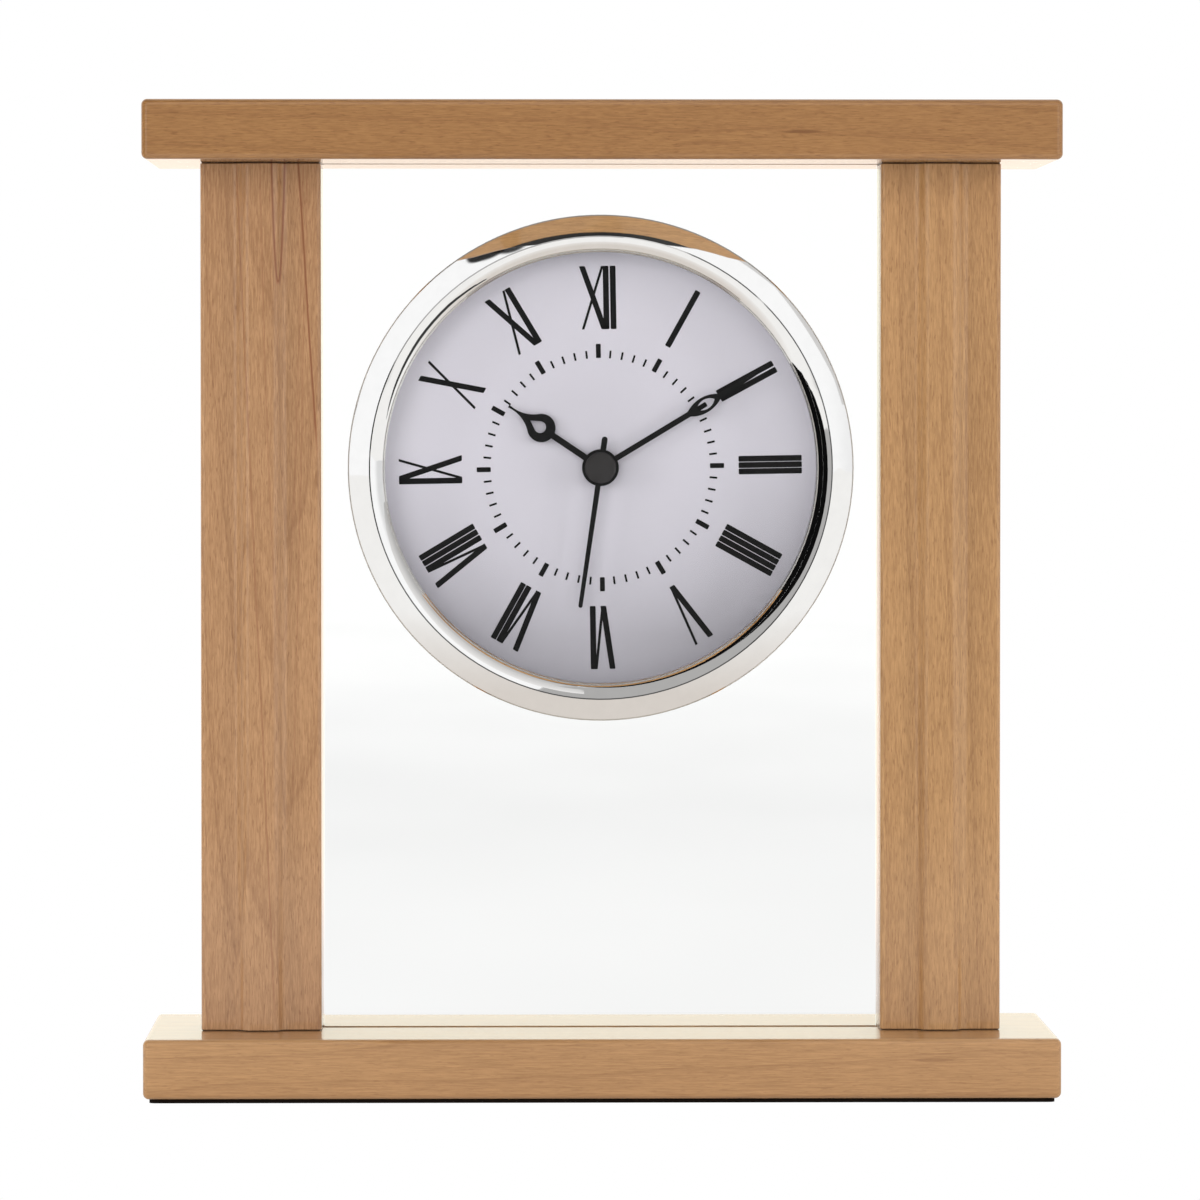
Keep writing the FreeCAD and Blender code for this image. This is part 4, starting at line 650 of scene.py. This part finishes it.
def floor_white():
    """White for the eye, faintly clouded through glass, warm grey in mirrors but dark straight
    ahead, and plain for all other light."""
    tree, shader = new_material("floor_white", Base_Color=(0.86, 0.86, 0.86, 1.0), Roughness=0.9)
    path = tree.node("ShaderNodeLightPath")
    x, y, z = tree.split(tree.place())

    def aside(slope):
        """How far a point is to either side of a wedge that opens towards the viewer."""
        return tree.math("ADD", tree.math("ABSOLUTE", x), tree.math("MULTIPLY", y, slope))

    front = tree.math("MULTIPLY", tree.span(aside(0.7), -20.0, 0.0, 1.0, 0.0),
                      tree.span(y, -200.0, -140.0, 1.0, 0.0))
    far = tree.math("MAXIMUM", front, tree.span(tree.distance(x, y), 105.0, 240.0))
    mirrored = tree.blend(far, MIRRORED_NEAR, MIRRORED_FAR)
    mirrored = tree.blend(tree.span(y, 300.0, 700.0), mirrored, MIRRORED_BEHIND)
    lit = tree.math("MAXIMUM", tree.span(aside(0.3), 0.0, 150.0),
                    tree.span(y, -1000.0, -500.0, 0.10, 1.0))
    mirrored = tree.blend(1.0, mirrored, tree.join(lit, lit, lit), "MULTIPLY")
    through = tree.span(y, 600.0, 2400.0, THROUGH_GLASS_NEAR, THROUGH_GLASS)
    cloud = tree.noise(tree.stretched((x, y, z), (1.0, 0.25, 1.0)), 101.0, scale=0.012, detail=1.0)
    through = tree.math("MULTIPLY", through, tree.span(cloud, 0.35, 0.65, 0.985, 1.01))
    white = tree.blend(path.outputs["Is Transmission Ray"], WHITE,
                       tree.join(through, through, through))
    glow = tree.node("ShaderNodeEmission")
    tree.feed(glow.inputs["Color"], tree.blend(mirror_only(tree, path), white, mirrored))
    tree.surface(shader, glow, seen_ray(tree, path))
    return tree.owner


floor_mesh = bpy.data.meshes.new("floor")
floor_mesh.from_pydata([(side * FLOOR_REACH, depth * FLOOR_REACH, 0.0)
                        for side, depth in ((-1, -1), (1, -1), (1, 1), (-1, 1))],
                       [], [(0, 1, 2, 3)])
floor = new_object("floor", floor_mesh)
floor_mesh.materials.append(floor_white())

# The room is even and white, with dark places that only mirrors and gloss show.
# Each is a direction, the cosines of its outer and inner edge, and how dark it is.
DARK_PLACES = [
    ((-0.315, -0.690, 0.652), 0.9962, 0.9972, 0.97),
    ((-0.245, -0.715, 0.655), 0.9975, 0.9984, 0.95),
    ((0.0, -1.0, 0.0), 0.972, 0.988, 0.90),
]
RIGHT_SIDE_LEVEL = 0.74
WARM_BEHIND = (1.31, 1.31, 1.14, 1.0)
ROOM_LIGHT = 0.55


def studio_world():
    """Full white for the eye, a little more through glass, its own tones in mirrors, and a low
    even light on the object."""
    world = bpy.data.worlds.new("studio")
    bpy.context.scene.world = world
    tree = Tree(world)
    direction = tree.node("ShaderNodeTexCoord").outputs["Generated"]
    rightwards, backwards, upwards = tree.split(direction)
    path = tree.node("ShaderNodeLightPath")
    mirrored = mirror_only(tree, path)
    level = tree.span(rightwards, 0.65, 0.9, 1.0, RIGHT_SIDE_LEVEL, smooth=True)
    for towards, outside, inside, depth in DARK_PLACES:
        dot = tree.node("ShaderNodeVectorMath", operation="DOT_PRODUCT")
        tree.feed(dot.inputs[0], direction)
        tree.feed(dot.inputs[1], Vector(towards).normalized())
        shade = tree.span(dot.outputs["Value"], outside, inside, 0.0, depth, smooth=True)
        level = tree.math("MULTIPLY", level, tree.math("SUBTRACT", 1.0, shade))
    straight = tree.math("SUBTRACT", path.outputs["Is Transmission Ray"], mirrored)
    bent = tree.math("MULTIPLY", tree.math("MAXIMUM", straight, 0.0), THROUGH_GLASS)
    seen = tree.math("MAXIMUM", tree.math("MULTIPLY", mirrored, level),
                     tree.math("MAXIMUM", path.outputs["Is Camera Ray"], bent))
    rest = tree.math("MULTIPLY", tree.math("SUBTRACT", 1.0, seen_ray(tree, path)), ROOM_LIGHT)
    behind = tree.math("MULTIPLY", mirrored, tree.span(backwards, 0.85, 0.97))
    low_or_high = tree.blend(tree.span(upwards, -0.02, 0.0), MIRRORED_BEHIND, WARM_BEHIND)
    background = tree.nodes["Background"]
    tree.feed(background.inputs["Color"], tree.blend(behind, WHITE, low_or_high))
    tree.feed(background.inputs["Strength"], tree.math("ADD", seen, rest))


studio_world()


# Cards that only mirrors show

# Where the ring's inner slope shows the dark band: its clock angle, then the lean off the view line
# of the mirrored rays that first meet the band
DARK_BAND = [(60, 87), (64, 62.3), (70, 48), (78, 40), (92, 38), (118, 38), (132, 50), (144, 62.3),
             (160, 70), (176, 74), (184, 79), (189, 87)]
GREY_BAND_LEAN = 22
# The grey band goes on past the dark one, as a wedge that starts at the ridge
GREY_BAND = [row for row in DARK_BAND if 75 < row[0] < 186] + [(188, 76), (195, 60), (202, 24)]
# A pale grey shade in the lower left of the ring, deepest next to the lens
PALE_BAND = [(187, 40), (200, 40), (225, 38), (250, 50), (256, 62.3), (262, 80)]
# A thin dark wedge in the left of the ring: clock angle and the two leans it lies between
LEFT_WEDGE = [(284, 80, 77), (292, 76, 66), (305, 72, 57), (317, 72, 58), (328, 78, 73)]
RING_RADIUS = 45.5 * MM           # where the ring's inner slope mirrors them
# The cards stand in front of the ring, nearer to its axis than what its outer slope mirrors. The
# wedge and the grey card start 17 to 18 mm ahead of it, the dark and the pale one 50 mm: rays of
# more lean than CARD_LEAN pass behind these two and meet a strip far out to the side.
CARD_RADIUS = 49 * MM
CARD_LEAN = 62.3
STRIP_RADIUS = 200 * MM
STRIP_LEAN = 88.4
CARD_BLACK = 0.004
CARD_TINT = (1.0, 0.985, 0.97, 1.0)


def mirror_card(name, rows, level, far_level=None):
    """A card through pairs of points, near and far. It may fade to another level away from the
    clock."""
    near = max(pair[0][1] for pair in rows) / MM
    far = min(pair[1][1] for pair in rows) / MM
    mesh = bpy.data.meshes.new(name)
    faces = [(2 * index, 2 * index + 1, 2 * index + 3, 2 * index + 2)
             for index in range(len(rows) - 1)]
    mesh.from_pydata([spot for pair in rows for spot in pair], [], faces)
    card = new_object(name, mesh)
    tree, shader = new_material(name, Base_Color=(0.0, 0.0, 0.0, 1.0), Specular_IOR_Level=0.0,
                                Emission_Color=CARD_TINT, Emission_Strength=level)
    if far_level:
        fade = tree.span(tree.split(tree.place())[1], far, near, far_level, level)
        tree.feed(shader.inputs["Emission Strength"], fade)
    mesh.materials.append(tree.owner)
    hide_from(card, "camera", "diffuse", "transmission", "shadow")


def ring_card(name, rows, radius, level, far_level=None):
    """A card curved about the ring's axis. Each row is the clock angle at which the ring mirrors
    it, then the leans of the rays that meet its near and far edge."""
    pairs = []
    for clock_angle, near, far in rows:
        angle = math.radians(clock_angle + 180)
        pair = []
        for lean in (near, far):
            ahead = (radius + RING_RADIUS) / math.tan(math.radians(lean))
            pair.append((radius * math.sin(angle), RING_FRONT_Y - ahead,
                         AXIS_Z + radius * math.cos(angle)))
        pairs.append(pair)
    mirror_card(name, pairs, level, far_level)


for name, band, near_level, middle_level, far_level in (
        ("dark", DARK_BAND, CARD_BLACK, CARD_BLACK, CARD_BLACK),
        ("pale", PALE_BAND, 0.42, 0.66, 0.90)):
    card_rows = [(turn, CARD_LEAN, lean) for turn, lean in band if lean <= CARD_LEAN]
    strip_rows = [(turn, STRIP_LEAN, max(lean, CARD_LEAN)) for turn, lean in band]
    ring_card(name + "_band_card", card_rows, CARD_RADIUS, middle_level, far_level)
    ring_card(name + "_strip_card", strip_rows, STRIP_RADIUS, near_level, middle_level)
grey_rows = [(turn, lean, GREY_BAND_LEAN) for turn, lean in GREY_BAND]
ring_card("grey_band_card", grey_rows, CARD_RADIUS, level=0.44)
ring_card("left_wedge_card", LEFT_WEDGE, CARD_RADIUS, level=0.05)


# Lamps and camera

CLOCK_MIDDLE = (0, 0, 0.11)
PLAIN_LIGHT = (1.0, 1.0, 1.0)
WARM_LIGHT = (0.98, 1.0, 0.82)


def soft_box(name, place, towards, width, height, power, colour=PLAIN_LIGHT):
    data = bpy.data.lights.new(name, "AREA")
    data.color = colour
    data.shape = "RECTANGLE"
    data.size = width
    data.size_y = height
    data.energy = power
    lamp = new_object(name, data)
    lamp.location = place
    lamp.rotation_euler = (Vector(towards) - Vector(place)).to_track_quat("-Z", "Y").to_euler()
    hide_from(lamp, "glossy", "camera", "transmission")


soft_box("key_box", (-0.8, -1.4, 0.42), CLOCK_MIDDLE, 0.9, 0.7, 4.9)
soft_box("fill_box", (0.9, -1.4, 0.34), CLOCK_MIDDLE, 1.0, 0.8, 4.0)
soft_box("low_box", (0.0, -1.5, 0.12), CLOCK_MIDDLE, 1.2, 0.3, 2.0)
soft_box("rear_box", (0.0, 0.9, 0.95), (0, 0, 0.02), 1.0, 0.5, 7.5, WARM_LIGHT)
soft_box("rear_low_box", (0.0, 0.40, 0.03), (0, 0, 0.19), 0.5, 0.1, 3.0)
soft_box("left_box", (-1.3, -0.5, 0.2), CLOCK_MIDDLE, 0.3, 0.8, 7.0)
soft_box("right_box", (1.3, -0.5, 0.2), CLOCK_MIDDLE, 0.3, 0.8, 7.0)

CAMERA_PLACE = (-0.022, -1.412, 0.140)
VIEW_DIRECTION = (0.01554, 1.0, -0.02835)
camera_data = bpy.data.cameras.new("camera")
camera_data.sensor_width = 36.0
camera_data.lens = 207.6
camera_data.clip_end = 20.0
camera = new_object("camera", camera_data)
camera.location = CAMERA_PLACE
camera.rotation_euler = Vector(VIEW_DIRECTION).to_track_quat("-Z", "Y").to_euler()
bpy.context.scene.camera = camera
bpy.context.scene.view_settings.view_transform = "Standard"
bpy.context.scene.view_settings.look = "None"
